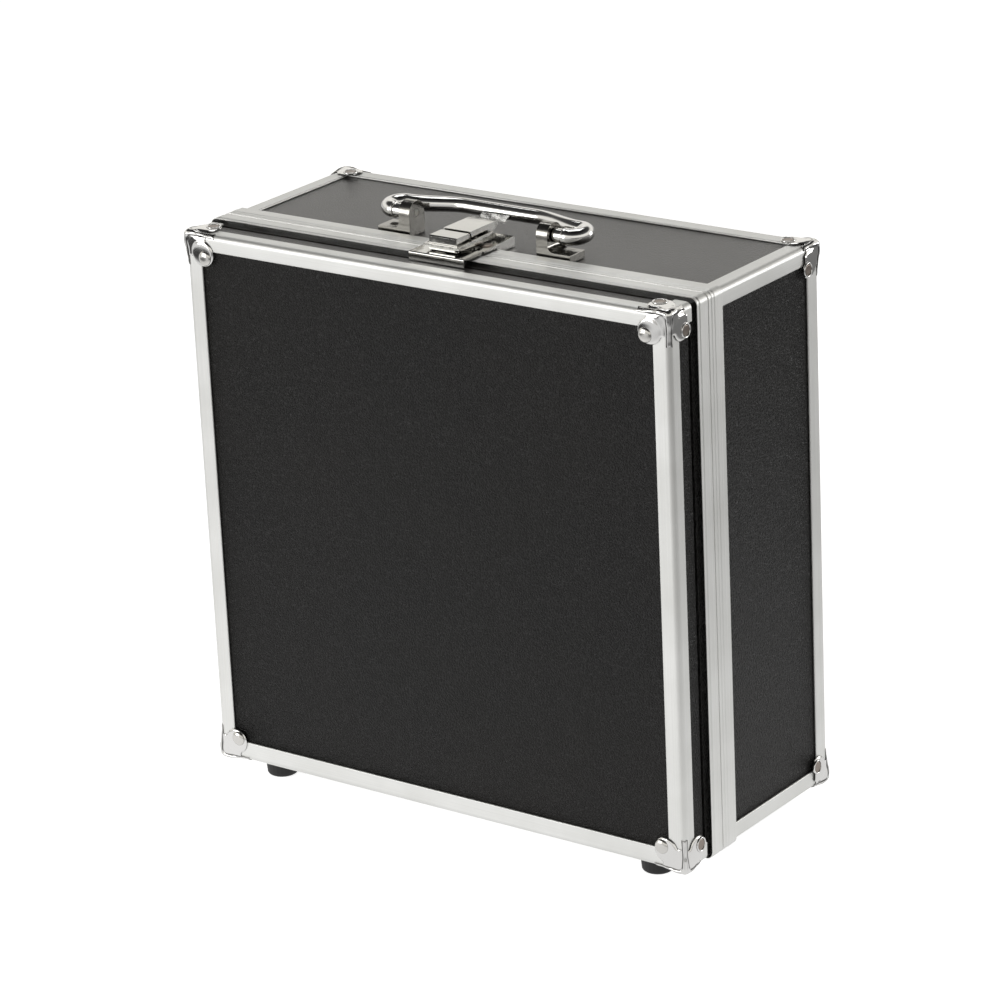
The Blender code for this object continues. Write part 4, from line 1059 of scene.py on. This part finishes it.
def makeRivets(rivet):
    heads = {}
    for kind in ("dome", "collar", "disc", "base"):
        mesh = turned(f"{kind}_head", rivet[kind], rivet["sides"], rivet["smoothAngle"])
        heads[kind] = newObject(f"{kind}_head", mesh)
    for half, body in (("lid", "lid"), ("body", "case_body")):
        domes, dishes = capRivets(half, rivet["sink"])
        setHeads(f"{half}_dome_rivets", body, domes, heads["dome"], domeMetal)
        setHeads(f"{half}_rivet_collars", body, dishes, heads["collar"], chrome)
        setHeads(f"{half}_rivet_discs", body, dishes, heads["disc"], rivetMetal)
    x, behind, above = [length * mm for length in rivet["basePlaces"]]
    y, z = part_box("lid_rim")[1].y + behind, faces["top"] + above
    places = [(Vector((side * x, y, z)), Vector((0, 0, 1))) for side in (-1, 1)]
    setHeads("latch_base_rivets", "case_body", places, heads["base"], rivetMetal)
    for head in heads.values():
        bpy.data.objects.remove(head)


makeRivets(rivetValues)
print("rivets set")


# Handle: a bar swept along its bent path by geometry nodes

handleValues = {
    # mm, and x is from the middle of the case
    "bossEnd": 53.2,                # x of the bosses' inner ends
    "bossLength": 8.1,
    "bossRadius": 4.2,
    "bossEdge": ((0.0, 0.5), (0.15, 0.15), (0.5, 0.0)),     # along and inwards from its inner end
    "bossShares": (0.1, 0.72, 6),   # first, last and number of its rings
    "collarShare": 0.76,            # of the boss, where the collar starts
    "collar": ((0.0, 4.25), (0.15, 4.75), (0.45, 5.0), (1.0, 5.0), (1.4, 4.85)),    # along it, radius
    "bendRadius": 7.0,
    "bendAngles": (-88, 90, 34),    # first, last and number of its rings
    "gripReach": 22.0,              # from the pins' axis to the middle of the grip
    "gripHalf": 25.0,
    "barRadius": 4.9,
    "gripRadius": 4.45,
    "slopeRings": 34,
    "gripRings": 8,
    "tilt": 3.0,                    # degrees above level
    "sides": 40,
    "smoothAngle": 50,
}


def handlePath(bar):
    # x, reach and radius in mm, from one boss's end to the middle of the grip
    boss, length, radius = bar["bossEnd"], bar["bossLength"], bar["bossRadius"]
    path = [(boss + along, 0, radius - inwards) for along, inwards in bar["bossEdge"]]
    path += [(boss + length * share, 0, radius) for share in np.linspace(*bar["bossShares"])]
    path += [(boss + length * bar["collarShare"] + along, 0, wide) for along, wide in bar["collar"]]
    bendX, bend = boss + length, bar["bendRadius"]
    for angle in np.radians(np.linspace(*bar["bendAngles"])):
        path.append((bendX + bend * math.cos(angle), bend * (1 + math.sin(angle)), bar["barRadius"]))
    for share in np.linspace(0, 1, bar["slopeRings"])[1:]:
        eased = ease(share, 0, 1)
        reach = 2 * bend + (bar["gripReach"] - 2 * bend) * eased
        thick = bar["barRadius"] + (bar["gripRadius"] - bar["barRadius"]) * eased
        path.append((bendX + (bar["gripHalf"] - bendX) * share, reach, thick))
    for share in np.linspace(0, 1, bar["gripRings"])[1:]:
        path.append((bar["gripHalf"] * (1 - share), bar["gripReach"], bar["gripRadius"]))
    return path


def sweepTree():
    tree = bpy.data.node_groups.new("bar along a path", "GeometryNodeTree")
    addSockets(tree, ("Sides", "Int"), ("Finish", "Material"))
    given = addNode(tree, "NodeGroupInput").outputs
    path = addNode(tree, "GeometryNodeMeshToCurve", {"Mesh": given["Geometry"]})
    thickness = addNode(tree, "GeometryNodeInputNamedAttribute", {"Name": "thickness"}, data_type="FLOAT")
    ring = addNode(tree, "GeometryNodeCurvePrimitiveCircle", {"Resolution": given["Sides"], "Radius": 1.0})
    swept = addNode(tree, "GeometryNodeCurveToMesh", {
        "Curve": path.outputs[0],
        "Profile Curve": ring.outputs[0],
        "Scale": thickness.outputs["Attribute"],
        "Fill Caps": True,
    })
    finishTree(tree, swept.outputs[0], given["Finish"])
    return tree


def makeHandle(bar):
    half = handlePath(bar)
    path = half + [(-x, reach, radius) for x, reach, radius in reversed(half[:-1])]
    pins = next(joint["pos_m"] for joint in behaviour["joints"] if joint["name"] == "handle_hinge")
    tilt = math.radians(bar["tilt"])
    points = []
    for x, reach, _ in path:
        points.append((x * mm, pins[1] + reach * mm * math.cos(tilt), pins[2] + reach * mm * math.sin(tilt)))
    mesh = bpy.data.meshes.new("handle_bar")
    mesh.from_pydata(points, [(k, k + 1) for k in range(len(points) - 1)], [])
    field = mesh.attributes.new("thickness", "FLOAT", "POINT")
    field.data.foreach_set("value", [radius * mm for x, reach, radius in path])
    obj = newObject("handle_bar", mesh)
    nodes = obj.modifiers.new("Bar", "NODES")
    nodes.node_group = sweepTree()
    setInput(nodes, "Sides", bar["sides"])
    setInput(nodes, "Finish", chrome)
    bake(obj)
    smooth(obj.data, bar["smoothAngle"])
    stand(obj, "handle_grip")


makeHandle(handleValues)
print("handle bent")
